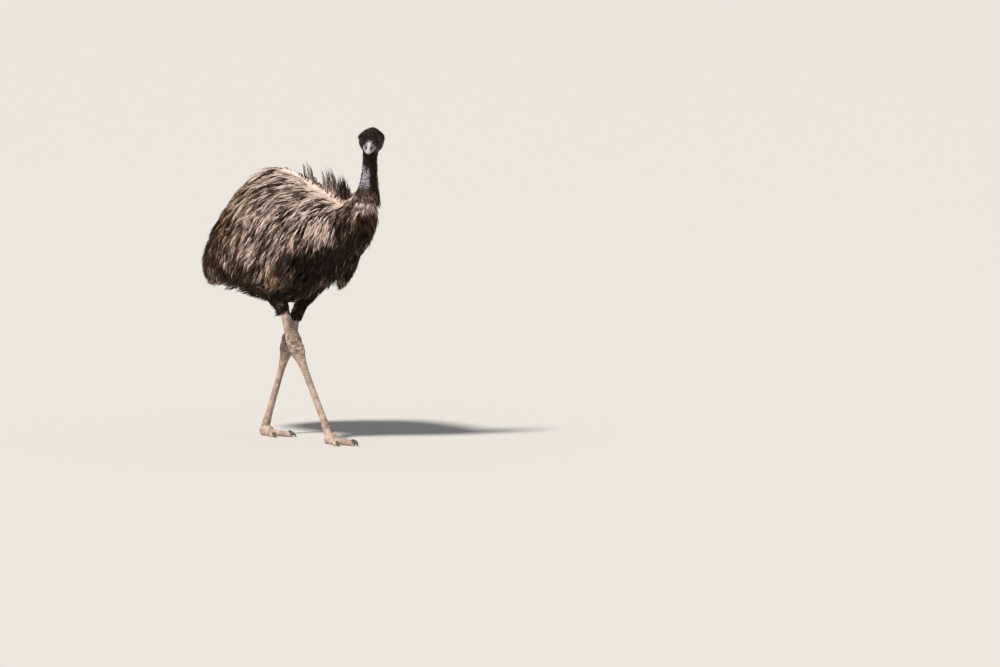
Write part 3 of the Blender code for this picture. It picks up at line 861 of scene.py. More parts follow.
def add_face_folds(points, normals):
    """Gape fold, ear openings and soft wrinkles of the bare face and throat."""
    local = in_half_head(points)
    line = GAPE_END - GAPE_START
    share = np.clip(((local - GAPE_START) @ line) / (line @ line), 0.0, 1.0)
    gap = np.linalg.norm(local - (GAPE_START + share[:, None] * line), axis=1)
    height = GAPE_FOLD_RISE * np.exp(-((gap - 0.005) / 0.003) ** 2)
    height -= GAPE_FOLD_DEPTH * np.exp(-(gap / 0.0022) ** 2)
    ear = np.linalg.norm(local - EAR_PLACE, axis=1)
    height -= EAR_DEPTH * fading(ear, 0.003, 0.0065)
    height += EAR_RIM_RISE * np.exp(-((ear - 0.0085) / 0.002) ** 2)
    bare = bare_neck(points)
    height += NECK_FOLD_RISE * bare * neck_ripple(points)
    height += NECK_GRAIN * (mottle(points, 0.006, 9) - 0.5) * bare
    return points + normals * height[:, None]


def leg_places(points):
    """Distance down each tarsus, how far a point faces front, and how near it is to a hock."""
    down = np.zeros(len(points))
    hock_near = np.zeros(len(points))
    front = np.zeros((len(points), 3))
    for side, sign in SIGNS.items():
        mine = (points[:, 0] - MIDLINE) * sign > -LEG_OVERLAP
        hock = np.array(middle_of("hock_" + side))
        foot = np.array(middle_of("foot_" + side))
        axis = unit(foot - hock)
        facing = unit(np.array((0.0, -1.0, 0.0)) + axis * axis[1])
        down = np.where(mine, (points - hock) @ axis, down)
        near = fading(np.abs((points - hock) @ axis), 0.030, 0.065)
        hock_near = np.where(mine, near, hock_near)
        front[mine] = facing
    return down, front, hock_near


def tarsus_plates(points, normals):
    """Place across the plate, from -1 to 1, how far the plates show, and nearness to a hock."""
    down, front, hock_near = leg_places(points)
    place = 2.0 * np.mod(down / PLATE_HEIGHT + 0.35 * mottle(points, 0.05, 13), 1.0) - 1.0
    shown = eased((normals * front).sum(1), 0.25, 0.75) * eased(down, 0.050, 0.080)
    return place, shown, hock_near


def add_leg_relief(points, normals):
    """Broad plates down the front of each tarsus and over the toes, and a knobby hock."""
    place, shown, hock_near = tarsus_plates(points, normals)
    height = PLATE_RISE * shown * (1.0 - place ** 6)
    toe = eased(-points[:, 2], -0.030, -0.020)
    on_top = eased(normals[:, 2], 0.45, 0.80)
    band = np.mod(-points[:, 1] / TOE_BAND_WIDTH, 1.0)
    height += TOE_BAND_RISE * toe * on_top * (1.0 - (2.0 * band - 1.0) ** 6)
    height += HOCK_KNOBS * hock_near * (mottle(points, 0.011, 17) - 0.5)
    height += LEG_GRAIN * (mottle(points, 0.006, 19) - 0.5)
    off_floor = eased(points[:, 2], 0.0015, 0.006)
    return points + normals * (height * bare_leg(points) * off_floor)[:, None]


def store_marks(mesh, name, *channels):
    """Keep up to four values for each vertex as a colour attribute."""
    layer = mesh.color_attributes.new(name=name, type="FLOAT_COLOR", domain="POINT")
    colours = np.ones((len(mesh.vertices), 4), np.float32)
    for index, channel in enumerate(channels):
        colours[:, index] = channel
    layer.data.foreach_set("color", colours.ravel())


def skin_finish(look, plumage):
    """Bare legs, bare neck with painted shade in its folds, dark face with painted shade in the
    ear openings, and the down under the plumage.
    """
    shader = Shader("emu_skin", Roughness=0.62, Specular_IOR_Level=0.35)
    leg, neck, face, hock = shader.mark("zones")
    tone, scute, hollow, fold = shader.mark("markings")
    place = shader.place()
    down = shader.ramp(tone, ((0.0, plumage.black), (0.60, plumage.brown), (1.0, plumage.cream)))
    fluff = shader.noise(shader.stretched(place, (260.0, 70.0, 260.0)), 1.0, 3.0)
    down = shader.mix(shader.smooth(fluff, 0.35, 0.65) * 0.7, down, plumage.brown)

    fine = shader.noise(shader.stretched(place, (240.0, 240.0, 420.0)), 1.0, 3.0)
    wrinkles = fold * 0.45 + fine * 0.55
    blotches = shader.noise(place, 70.0, 3.0)
    # Painted shade in the folds of the bare neck: darker in the valleys of the wrinkles, the skin
    # colour on their ridges; then random darker blotches.
    neck_tone = shader.mix(shader.smooth(wrinkles, 0.36, 0.66), look.neck_dark_and_fold_shade, look.neck_skin)
    neck_tone = shader.mix(shader.smooth(blotches, 0.50, 0.72) * 0.5, neck_tone, look.neck_dark_and_fold_shade)

    face_tone = shader.mix(shader.smooth(blotches, 0.40, 0.75), look.face_dark_and_ear_shade, look.face_blue)

    cells = shader.cell_edges(shader.stretched(place, (1.0, 1.0, 0.7)), 215.0)
    grooves = 1.0 - shader.smooth(cells, 0.02, 0.14)
    cracks = grooves * shader.smooth(shader.noise(place, 60.0, 3.0), 0.35, 0.65)
    grime = shader.noise(place, 24.0, 4.0, 0.6)
    leg_tone = shader.mix(shader.smooth(grime, 0.38, 0.66), look.leg_dark, look.leg_scale)
    worn = shader.smooth(shader.noise(place, 190.0, 2.0), 0.5, 0.7)
    leg_tone = shader.mix(worn * 0.4, leg_tone, look.leg_pale)
    leg_tone = shader.mix(cracks * 0.60, leg_tone, look.leg_groove)
    creases = shader.noise(shader.stretched(place, (45.0, 45.0, 190.0)), 1.0, 3.0)
    creased = hock * shader.smooth(creases, 0.47, 0.60)
    leg_tone = shader.mix(creased * 0.75, leg_tone, look.leg_groove)
    leg_tone = shader.mix(scute * 0.60, leg_tone, look.leg_groove)
    spots = shader.smooth(shader.noise(place, 130.0, 3.0), 0.60, 0.68)
    leg_tone = shader.mix(spots * 0.5, leg_tone, look.leg_groove)

    colour = shader.mix(neck, down, neck_tone)
    colour = shader.mix(face, colour, face_tone)
    colour = shader.mix(leg, colour, leg_tone)
    # Painted shade inside the ear openings
    colour = shader.mix(hollow, colour, look.face_dark_and_ear_shade)

    height = leg * (0.6 - grooves * 0.6 + grime * 0.4)
    height = height + (1.0 - leg) * (wrinkles * 0.5 + blotches * 0.3)
    roughness = 0.66 - leg * 0.08 - face * 0.16 + grime * 0.1
    return shader.finish(Base_Color=colour, Roughness=roughness,
                         Normal=shader.bump(height, 0.7, 0.0016))


def new_piece(name, mesh, finish, slot, *replaced):
    """An object of the bird: it rides on the body, and stands for the nodes it replaces."""
    piece = placed(name, mesh)
    mesh.materials.clear()
    mesh.materials.append(finish)
    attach(piece, "root")
    if replaced:
        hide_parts(*replaced)
    return piece


def build_skin(look, plumage):
    """The skin with its folds, lids and scales, and the marks that colour it."""
    mesh = one_skin(look)
    refine_round(mesh, [middle_of("eye_" + side) for side in SIDES], EYE_REACH)
    points = add_lids(points_of(mesh), look)
    move_points(mesh, points)
    points = add_face_folds(points, normals_of(mesh))
    points = add_leg_relief(points, normals_of(mesh))
    points[:, 2] = np.maximum(points[:, 2], 0.0)
    move_points(mesh, points)
    mesh.shade_smooth()

    leg = bare_leg(points)
    face = eased(points[:, 2], *FACE_RISE) * eased(-points[:, 1], *FACE_FRONT)
    place, shown, hock_near = tarsus_plates(points, normals_of(mesh))
    edge = place ** 8 * shown * leg
    # Mask of the ear openings, for the painted shade inside them
    ear = fading(np.linalg.norm(in_half_head(points) - EAR_PLACE, axis=1), 0.003, 0.007)
    store_marks(mesh, "zones", leg, bare_neck(points), face, hock_near)
    store_marks(mesh, "markings", paleness(points), edge, ear, 0.5 + 0.5 * neck_ripple(points))
    return new_piece("skin", mesh, skin_finish(look, plumage), "dark_plumage", *BODY_NODES,
                     *THIGH_NODES, *LEG_NODES, "head")


# Bill, eyes and claws ---------------------------------------------------------------------------

def smoothed_node(names, voxel, rounds, swell=0.0):
    """The named solids as one mesh with softened edges."""
    mesh = remeshed(joined_nodes(names, swell), voxel)
    move_points(mesh, relaxed(mesh, points_of(mesh), rounds, 0.45))
    mesh.shade_smooth()
    return mesh


def bill_finish(look):
    """Clouded grey horn with fine grain, painted shade in the hollows, in the nostrils and over
    the lower half, and a pale rim.
    """
    shader = Shader("bill_horn", Roughness=0.42, Specular_IOR_Level=0.3)
    bill_shade, nostril, rim, _ = shader.mark("horn")
    place = shader.place()
    grain = shader.noise(shader.stretched(place, (420.0, 420.0, 160.0)), 1.0, 3.0)
    clouds = shader.noise(place, 110.0, 3.0)
    colour = shader.mix(shader.smooth(clouds, 0.45, 0.70) * 0.5, look.bill_horn, look.bill_dark_and_shade)
    colour = shader.mix(rim, colour, look.bill_rim)
    # Painted shade of the hollows and of the lower bill
    colour = shader.mix(bill_shade, colour, look.bill_dark_and_shade)
    colour = shader.mix(shader.smooth(grain, 0.55, 0.8) * 0.25, colour, look.bill_dark_and_shade)
    # Painted shade: the nostril's opening is near black inside
    colour = shader.mix(nostril, colour, (0.004, 0.0035, 0.0035))
    return shader.finish(Base_Color=colour, Roughness=0.42 + grain * 0.2 + nostril * 0.35,
                         Normal=shader.bump(grain, 0.35, 0.0006))


def gape_height(local):
    """Height of the line between the halves of the bill, in the head's own axes."""
    return np.interp(-local[:, 1], (0.052, 0.070, 0.089, 0.107, 0.121, 0.133),
                     (0.0450, 0.0430, 0.0405, 0.0375, 0.0340, 0.0300))


def upper_bill_marks(local):
    """Painted shade of the hollows, nostril, pale rim and depth of the hollows, for points of the
    upper half.
    """
    across, ahead = local[:, 0], -local[:, 1]
    over = local[:, 2] - gape_height(local)
    ridge = np.interp(ahead, (0.060, 0.080, 0.104, 0.120), (0.0150, 0.0100, 0.0068, 0.0050))
    hollow = eased(across, ridge, ridge + 0.0035) * eased(over, 0.0065, 0.0095)
    hollow *= fading(ahead, 0.117, 0.127)
    slit = np.linalg.norm((local - NOSTRIL_PLACE) / NOSTRIL_SHAPE, axis=1)
    nostril = fading(slit, 0.0026, 0.0040)
    rim = np.exp(-((over - 0.0032) / 0.0028) ** 2) + eased(ahead, 0.124, 0.131)
    rim += fading(across, ridge - 0.003, ridge)
    # Painted shade along the hollows, darkest near the nostril
    bill_shade = hollow * (0.62 + 0.38 * fading(slit, 0.003, 0.008))
    return bill_shade, nostril, rim, BILL_HOLLOW_DEPTH * hollow + NOSTRIL_DEPTH * nostril


def build_bill(look):
    """Both halves of the bill, with a long hollow from each nostril up to the face."""
    finish = bill_finish(look)
    for name, swell in (("bill_upper", UPPER_BILL_SWELL), ("bill_lower", 0.0)):
        mesh = smoothed_node((name,), BILL_VOXEL, 9, swell)
        points = points_of(mesh)
        if name == "bill_upper":
            bill_shade, nostril, rim, sunk = upper_bill_marks(in_half_head(points))
        else:
            # Painted shade over the whole lower half
            bill_shade = np.full(len(points), LOWER_BILL_SHADE)
            nostril = rim = sunk = np.zeros(len(points))
        move_points(mesh, relaxed(mesh, points - normals_of(mesh) * sunk[:, None], 2))
        store_marks(mesh, "horn", bill_shade, nostril, np.clip(rim, 0.0, 1.0))
        new_piece(name + "_horn", mesh, finish, "bill_horn", name)


def eye_finish(look):
    """Black pupil, streaked brown iris and dark white of the eye."""
    shader = Shader("eye", Roughness=0.05, Specular_IOR_Level=0.22)
    gaze, _, _, _ = shader.mark("gaze")
    iris = shader.noise(shader.stretched(shader.place(), (900.0, 900.0, 900.0)), 1.0, 2.0)
    ring = shader.mix(iris, look.iris_dark, look.iris)
    colour = shader.mix(shader.smooth(gaze, 0.195, 0.215), (0.002, 0.002, 0.002), ring)
    colour = shader.mix(shader.smooth(gaze, 0.40, 0.47), colour, (0.010, 0.008, 0.007))
    return shader.finish(Base_Color=colour)


def build_eyes(look):
    """Both eyeballs, with the cornea standing a little out of each."""
    finish = eye_finish(look)
    for side in SIDES:
        axis = eye_axis(side)
        builder = bmesh.new()
        bmesh.ops.create_icosphere(builder, subdivisions=5, radius=1.0)
        mesh = mesh_of(builder, "eye")
        rays = unit(points_of(mesh))
        angle = np.degrees(np.arccos(np.clip(rays @ axis, -1.0, 1.0)))
        reach = look.eye_radius + CORNEA_RISE * fading(angle, 12.0, 40.0)
        centre = np.array(middle_of("eye_" + side))
        move_points(mesh, centre + rays * reach[:, None])
        mesh.shade_smooth()
        store_marks(mesh, "gaze", angle / 90.0, angle * 0.0, angle * 0.0)
        new_piece("eyeball_" + side, mesh, finish, "eye", "eye_" + side)


def build_claws(look):
    """Dark streaked claws, one piece for each foot."""
    shader = Shader("claw_horn", Roughness=0.45, Specular_IOR_Level=0.45)
    place = shader.place()
    streaks = shader.noise(shader.stretched(place, (500.0, 90.0, 500.0)), 1.0, 3.0)
    colour = shader.mix(shader.smooth(streaks, 0.35, 0.7), look.claw_dark, look.claw_pale)
    finish = shader.finish(Base_Color=colour, Roughness=0.38 + streaks * 0.25,
                           Normal=shader.bump(streaks, 0.4, 0.0008))
    for side in SIDES:
        names = tuple("claw_" + digit + "_" + side for digit in ("inner", "middle", "outer"))
        mesh = smoothed_node(names, CLAW_VOXEL, 5)
        new_piece("claws_" + side, mesh, finish, "claw_horn", *names)


# Plumage ----------------------------------------------------------------------------------------

class Cut:
    """How the strands of a tuft are cut, and how they part. Sizes are in metres."""

    def __init__(self, strands, width, spread, wave=0.0, wavelength=0.08, fray=0.4, gather=0.6,
                 thickness=0.35, shortest=0.72):
        self.strands = strands
        self.width = width
        self.spread = spread
        self.wave = wave
        self.wavelength = wavelength
        self.fray = fray
        self.gather = gather
        self.thickness = thickness
        self.shortest = shortest


class Tufts:
    """Tufts over a form: where each one grows, how far it reaches and how it is coloured.

    layer is how deep under the form a tuft ends, hang how freely its end drops, fall whether it
    drops where the form turns under, and vary how much paler than its neighbours it is.
    """

    def __init__(self, surface, roots, normals, depth, length):
        self.surface = surface
        self.roots = roots
        self.sunk = roots - normals * depth[:, None]
        self.length = length
        self.scale = np.ones(len(roots))
        self.layer = np.zeros(len(roots))
        self.hang = np.zeros(len(roots))
        self.fall = np.zeros(len(roots))
        self.vary = np.ones(len(roots))
        self.tones = None
        self.warm = None
        self.lines = None
        self.outward = None

    def comb(self, lie, steps, lift=0.5, rise=0.4):
        """Draw each tuft's guide line: out through the plumage, and then along the form."""
        places, normals = self.surface.nearest(self.sunk)
        start = ((places - self.sunk) * normals).sum(1)
        points = self.sunk
        heading = unit(lie(points, normals) + normals * lift)
        lines, outward = [points], [normals]
        stride = (self.length / (steps - 1))[:, None]
        for number in range(1, steps):
            share = number / (steps - 1)
            points = points + heading * stride
            places, normals = self.surface.nearest(points)
            sunk = ((places - points) * normals).sum(1)
            wanted = start * fading(np.array(share), 0.0, rise) + self.layer * share
            falling = self.fall * eased(-normals[:, 2], -0.05, 0.35) * (share > 0.3)
            free = np.maximum(self.hang * share, falling)
            stride = stride * (1.0 - 0.45 * falling[:, None])
            points = points + normals * ((sunk - wanted) * 0.7 * (1.0 - free))[:, None]
            along = unit(lie(points, normals) + free[:, None] * np.array((0.0, 0.1, -2.2)))
            heading = unit(heading * 0.3 + along * 0.7)
            lines.append(points)
            outward.append(normals)
        self.lines = np.stack(lines, axis=1)
        self.outward = np.stack(outward, axis=1)
        tones = paleness(self.lines.reshape(-1, 3)).reshape(-1, steps)
        steady = 0.45 * eased(tones, 0.80, 1.0)
        self.tones = tones * (self.vary[:, None] * (1.0 - steady) + steady)
        self.warm = warmth(self.lines[:, steps // 2])


def strands_of(tufts, mine, cut, random):
    """Split the guide lines of some tufts into strands: centres, sides, ups and half widths."""
    lines, outward = tufts.lines[mine], tufts.outward[mine]
    length, scale = tufts.length[mine], tufts.scale[mine][:, None, None]
    count, steps, _ = lines.shape
    shape = (count, cut.strands, 1)
    reach = random.uniform(cut.shortest, 1.0, shape)
    begin = random.uniform(0.0, 0.12, shape)
    share = np.linspace(0.0, 1.0, steps)
    place = np.clip(begin + share * (reach - begin), 0.0, 1.0) * (steps - 1)
    low = np.minimum(place.astype(int), steps - 2)
    part = (place - low)[..., None]
    tuft = np.arange(count)[:, None, None]
    centre = lines[tuft, low] * (1.0 - part) + lines[tuft, low + 1] * part
    up = outward[tuft, low] * (1.0 - part) + outward[tuft, low + 1] * part
    tangent = unit(np.gradient(centre, axis=2))
    side = unit(np.cross(tangent, up))
    up = np.cross(side, tangent)

    spread = cut.spread * scale * (1.0 - cut.gather * share)
    across = random.normal(0.0, 0.55, shape) * spread
    height = random.normal(0.0, 0.30, shape) * spread
    phase = random.uniform(0.0, 1.0, (count, 1, 1)) + random.uniform(-0.08, 0.08, shape)
    turns = share * length[:, None, None] / cut.wavelength + phase
    across = across + cut.wave * scale * np.sin(turns * math.tau) * share ** 0.5
    height = height + cut.wave * 0.6 * scale * np.sin(turns * math.tau * 0.8 + 1.3) * share
    flick = random.normal(0.0, 1.0, shape) * cut.fray * cut.spread * scale
    across = across + flick * share ** 3
    height = height + np.abs(flick) * 0.35 * share ** 3
    centre = centre + side * across[..., None] + up * height[..., None]

    twist = random.normal(0.0, 0.5, shape)[..., None]
    turned = side * np.cos(twist) + up * np.sin(twist)
    up = up * np.cos(twist) - side * np.sin(twist)
    girth = random.uniform(0.7, 1.15, shape)
    half = cut.width / 2 * scale * girth
    half = half * (1.0 - share ** 2.2) * (0.3 + 0.7 * eased(share, 0.0, 0.35))
    flat = (count * cut.strands, steps)
    return (centre.reshape(*flat, 3), turned.reshape(*flat, 3), up.reshape(*flat, 3),
            half.reshape(flat))


def strand_faces(rings):
    """Triangles of one closed strand: rings of left edge, ridge and right edge, then the tip."""
    faces = [(0, 2, 1)]
    for number in range(rings - 1):
        for corner in range(3):
            here = number * 3 + corner
            after = number * 3 + (corner + 1) % 3
            faces += [(here, after, after + 3), (here, after + 3, here + 3)]
    last = (rings - 1) * 3
    faces += [(last + corner, last + (corner + 1) % 3, rings * 3) for corner in range(3)]
    return np.array(faces)


def lay(name, tufts, mine, cut, unwrap, random, plumage, slot, *replaced):
    """Make a piece of plumage from some of the tufts."""
    mesh = strand_mesh(name, tufts, mine, cut, unwrap, random)
    new_piece("plumage_" + name, mesh, plumage_material(plumage), slot, *replaced)


def strand_mesh(name, tufts, mine, cut, unwrap, random):
    """Some of the tufts as one mesh of closed strands, each tapering to a point.

    unwrap gives each root's place on the skin's own unwrap, and every tuft takes a small patch
    of the map there.
    """
    centre, side, up, half = strands_of(tufts, mine, cut, random)
    strands, steps = half.shape
    rings = steps - 1
    wide = half[:, :rings, None]
    body = centre[:, :rings]
    ridge = body + up[:, :rings] * wide * cut.thickness * 2.0
    ring = np.stack([body - side[:, :rings] * wide, ridge, body + side[:, :rings] * wide], axis=2)
    points = np.concatenate([ring.reshape(strands, rings * 3, 3), centre[:, -1:]], axis=1)
    each = rings * 3 + 1
    corners = (np.arange(strands)[:, None, None] * each + strand_faces(rings)).ravel()

    mesh = bpy.data.meshes.new(name)
    mesh.vertices.add(strands * each)
    mesh.vertices.foreach_set("co", points.astype(np.float32).ravel())
    mesh.loops.add(len(corners))
    mesh.loops.foreach_set("vertex_index", corners.astype(np.int32))
    mesh.polygons.add(len(corners) // 3)
    mesh.polygons.foreach_set("loop_start", np.arange(0, len(corners), 3, dtype=np.int32))
    mesh.update(calc_edges=True)
    mesh.shade_smooth()

    along = np.append(np.repeat(np.arange(rings), 3), rings) / rings
    sheer = np.append(np.tile((0.0, 0.5, 1.0), rings), 0.5)
    tuft = np.repeat(np.arange(strands // cut.strands), cut.strands)
    number = np.tile(np.arange(cut.strands), strands // cut.strands)
    spot = spread_over(unwrap(tufts.roots[mine]))
    u = spot[tuft, 0, None] + UV_PATCH * (number[:, None] + sheer) / cut.strands
    v = spot[tuft, 1, None] + UV_PATCH * along
    flat = np.stack([u, v], axis=2).reshape(-1, 2)[corners]
    mesh.uv_layers.new(name="OFBake").data.foreach_set("uv", flat.astype(np.float32).ravel())

    tones = tufts.tones[mine][tuft] + random.normal(0.0, 0.07, (strands, 1))
    values = np.ones((strands, each, 4), np.float32)
    values[:, :, 0] = np.clip(np.concatenate([np.repeat(tones[:, :rings], 3, axis=1),
                                              tones[:, -1:]], axis=1), 0.0, 1.2)
    values[:, :, 1] = along
    values[:, :, 2] = random.uniform(0.0, 1.0, strands)[:, None]
    values[:, :, 3] = tufts.warm[mine][tuft][:, None]
    layer = mesh.color_attributes.new(name="strand", type="FLOAT_COLOR", domain="POINT")
    layer.data.foreach_set("color", values.ravel())
    return mesh


def spread_over(unwrapped):
    """Places on an unwrap, fitted to the whole map."""
    low, high = unwrapped.min(0), unwrapped.max(0)
    room = 1.0 - 2.0 * UV_MARGIN - UV_PATCH
    return (unwrapped - low) / np.maximum(high - low, 1e-6) * room + UV_MARGIN


def round_body(points):
    """Unwrap of the trunk: angle round its length, and distance along it."""
    angle = np.arctan2(points[:, 0] - MIDLINE, points[:, 2] - 0.90)
    return np.stack([angle, points[:, 1]], axis=1)


def round_upright(points):
    """Unwrap of an upright form: angle round it, and height."""
    middle = points.mean(axis=0)
    angle = np.arctan2(points[:, 0] - middle[0], points[:, 1] - middle[1])
    return np.stack([angle, points[:, 2]], axis=1)


def round_head(points):
    """Unwrap of the head: angle round its length, and distance along it."""
    local = in_head(points)
    return np.stack([np.arctan2(local[:, 0], local[:, 2] - 0.045), local[:, 1]], axis=1)


def plumage_finish(plumage):
    """Loose feather strands: roots darkened with painted shade from deep in the coat, streaked
    middles and darker tips.
    """
    shader = Shader("plumage", Roughness=0.7, Specular_IOR_Level=0.12)
    tone, along, chance, warm = shader.mark("strand")
    streak = shader.noise(shader.place(), 22.0, 2.0)
    steady = shader.smooth(tone, 0.75, 1.0)
    vary = (0.34 + chance * 1.32) * (1.0 - steady) + steady * (0.62 + chance * 0.62)
    shade = tone * (0.80 + streak * 0.40) * vary + (chance - 0.5) * 0.06
    # Painted shade: each strand is darker toward its root, as if shaded deep in the coat, and less
    # so where the plumage is steady and pale.
    root = shader.smooth(along + steady * 0.3, 0.0, 0.24)
    tip = 1.0 - shader.smooth(along, 0.62, 0.98) * shader.smooth(chance, 0.35, 0.6) * 0.6
    shade = shade * (0.40 + root * 0.60) * tip
    cool = shader.ramp(shade, ((0.0, plumage.black), (0.24, plumage.brown),
                               (0.50, plumage.pale), (0.86, plumage.cream)))
    golden = shader.ramp(shade, ((0.0, plumage.black), (0.30, plumage.golden_dark),
                                 (0.64, plumage.golden), (0.95, plumage.cream)))
    colour = shader.mix(warm, cool, golden)
    return shader.finish(Base_Color=colour, Roughness=0.76 - shade * 0.12)


def plumage_material(plumage):
    """The one finish that all plumage shares."""
    if "finish" not in forms:
        forms["finish"] = plumage_finish(plumage)
    return forms["finish"]


def roots_on(mesh, spacing, random):
    """Even but unruly roots over a form: one in each face of a coarse remesh of it."""
    builder = bmesh.new()
    builder.from_mesh(mesh)
    coarse = remeshed(builder, spacing)
    centres = vectors_of(coarse.polygons, "center")
    bpy.data.meshes.remove(coarse)
    return centres + random.uniform(-0.4, 0.4, centres.shape) * spacing


def lie_of_body(points, normals):
    """Direction in which the feathers of trunk and neck lie."""
    y, z = points[:, 1], points[:, 2]
    top = eased(z, 0.97, 1.13)
    slope = 62.0 - 26.0 * top + 20.0 * eased(y, 0.16, 0.38)
    slope += 16.0 * eased(-y, 0.15, 0.30) * (1.0 - top)
    neck = eased(z, 1.00, 1.10) * eased(-y, 0.30, 0.36)
    slope += (88.0 - slope) * neck
    slope *= 1.0 - 0.75 * eased(-normals[:, 2], 0.35, 0.85) * (1.0 - neck)
    slope += 34.0 * (mottle(points, 0.07, 23) - 0.5)
    slope = np.radians(slope)
    off = points[:, 0] - parting_line(y)
    near = fading(np.abs(off), 0.02, 0.13)
    aside = np.tanh(off / 0.028) * (0.15 + 0.60 * near) * (1.0 - neck)
    wanted = np.stack([
        aside * eased(z, 0.85, 1.0) + 0.30 * (mottle(points, 0.06, 29) - 0.5),
        np.cos(slope),
        -np.sin(slope),
    ], axis=1)
    return unit(along_plane(wanted, normals))


def straight_down(points, normals):
    """Direction in which the feathers of the neck lie."""
    aside = 0.5 * (mottle(points, 0.02, 31) - 0.5)
    ahead = 0.4 * (mottle(points, 0.03, 37) - 0.5)
    wanted = np.stack([aside, ahead, np.full(len(points), -1.0)], axis=1)
    return unit(along_plane(wanted, normals))


def lie_of_head(points, normals):
    """Forward over the root of the bill, back over the crown, out over the brows, and down the
    nape, cheeks and throat."""
    local = in_head(points)
    x, y, z = local.T
    high = eased(z, 0.050, 0.070)
    low = eased(-z, -0.030, 0.000)
    back = eased(y, 0.000, 0.045)
    fore = eased(-y, 0.038, 0.060)
    out = np.sign(x) * eased(np.abs(x), 0.006, 0.026) * (0.25 + 0.75 * high)
    brow = within(local * (0.0, 1.0, 1.0), BROW_MIDDLE, (1.0, 0.030, 0.016))
    brow *= eased(np.abs(x), 0.026, 0.036)
    wanted = np.stack([
        (out * 0.8 + np.sign(x) * brow * 2.5) * (1.0 - fore),
        (0.75 + 0.25 * high) * (1.0 - fore) * (1.0 - brow) - 1.1 * fore,
        -0.9 * (1.0 - high) - 0.7 * back - 0.9 * low - 0.5 * fore,
    ], axis=1)
    wanted += 0.35 * wander(points, 0.009, (41, 43, 47))
    wanted = wanted @ HEAD_TURN.T
    stand = 0.8 * np.maximum(brow, 0.7 * (1.0 - np.abs(2.0 * fore - 1.0)) * (z > 0.045))
    return unit(along_plane(wanted, normals) + normals * stand[:, None])


def roots_along_parting(random):
    """Roots that close the parting of the back, where the feathers turn to either side."""
    y = np.repeat(np.linspace(PARTING_FRONT, PARTING_REAR, PARTING_ROOTS), 2)
    x = parting_line(y) + random.normal(0.0, 0.007, len(y))
    tree, down = outer_form().tree, (0.0, 0.0, -1.0)
    return np.array([tree.ray_cast((*place, ABOVE_BACK), down)[0] for place in zip(x, y)])


def body_roots(spacing, random):
    """Roots over tail, rump, back, flanks and breast, thinner where the body turns under."""
    outer = outer_form()
    roots = roots_on(forms["outer mesh"], spacing, random)
    roots, normals = outer.nearest(np.concatenate([roots, roots_along_parting(random)]))
    under = eased(-normals[:, 2], 0.15, 0.60)
    body = (neck_share(roots) < 0.35) & (roots[:, 2] > LOWEST_BODY_ROOT)
    body &= random.uniform(0.0, 1.0, len(roots)) > 0.45 * under
    return roots[body], normals[body], under[body]


def lay_body_plumage(plumage):
    """Shaggy feathers over tail, rump, back, flanks, breast and the root of the neck."""
    random = np.random.default_rng(11)
    roots, normals, under = body_roots(plumage.spacing, random)
    y, z = roots[:, 1], roots[:, 2]

    def each(low, high):
        """A random number for each tuft."""
        return random.uniform(low, high, len(roots))

    front = eased(-y, 0.12, 0.30)
    length = plumage.length * (1.0 - 0.45 * front) * each(0.75, 1.15)
    tufts = Tufts(outer_form(), roots, normals, coat_depth(roots, normals) * 0.97,
                  length * (1.0 - 0.35 * under))
    tufts.scale = 1.0 - 0.35 * front
    hem = fading(z, 0.68, 0.80) * eased(y, 0.05, 0.20)
    tufts.length = tufts.length * (1.0 + 0.35 * hem * each(0.0, 1.0))
    hang = 0.70 * fading(z, 0.66, 0.84) * (1.0 - under * 0.6) * eased(y, -0.30, 0.10)
    hang = np.maximum(hang, 0.90 * hem * (1.0 - 0.5 * under))
    tufts.hang = np.clip(np.maximum(hang, 0.5 * eased(y, 0.33, 0.44)), 0.0, 0.9)
    tufts.fall = hem * (each(0.0, 1.0) < 0.7)
    tufts.layer = each(-0.003, 0.014) * (1.0 - 0.5 * front)
    stray = each(0.0, 1.0) < 0.05 + 0.07 * eased(y, 0.15, 0.35)
    tufts.layer -= stray * each(0.004, 0.014)
    dark = each(0.0, 1.0) < DARK_TUFTS
    tufts.vary = np.where(dark, each(0.05, 0.40), each(0.95, 1.65))
    tufts.comb(lie_of_body, 6, lift=0.35, rise=0.55)
    cut = Cut(plumage.strands, plumage.width, spread=0.0085, wave=0.0045, wavelength=0.115,
              fray=0.6)
    for name, start, end in BODY_BANDS:
        for side, sign in SIGNS.items():
            mine = (y >= start) & (y < end) & ((roots[:, 0] - MIDLINE) * sign > 0)
            lay(name + "_" + side, tufts, mine, cut, round_body, random, plumage, "dark_plumage")


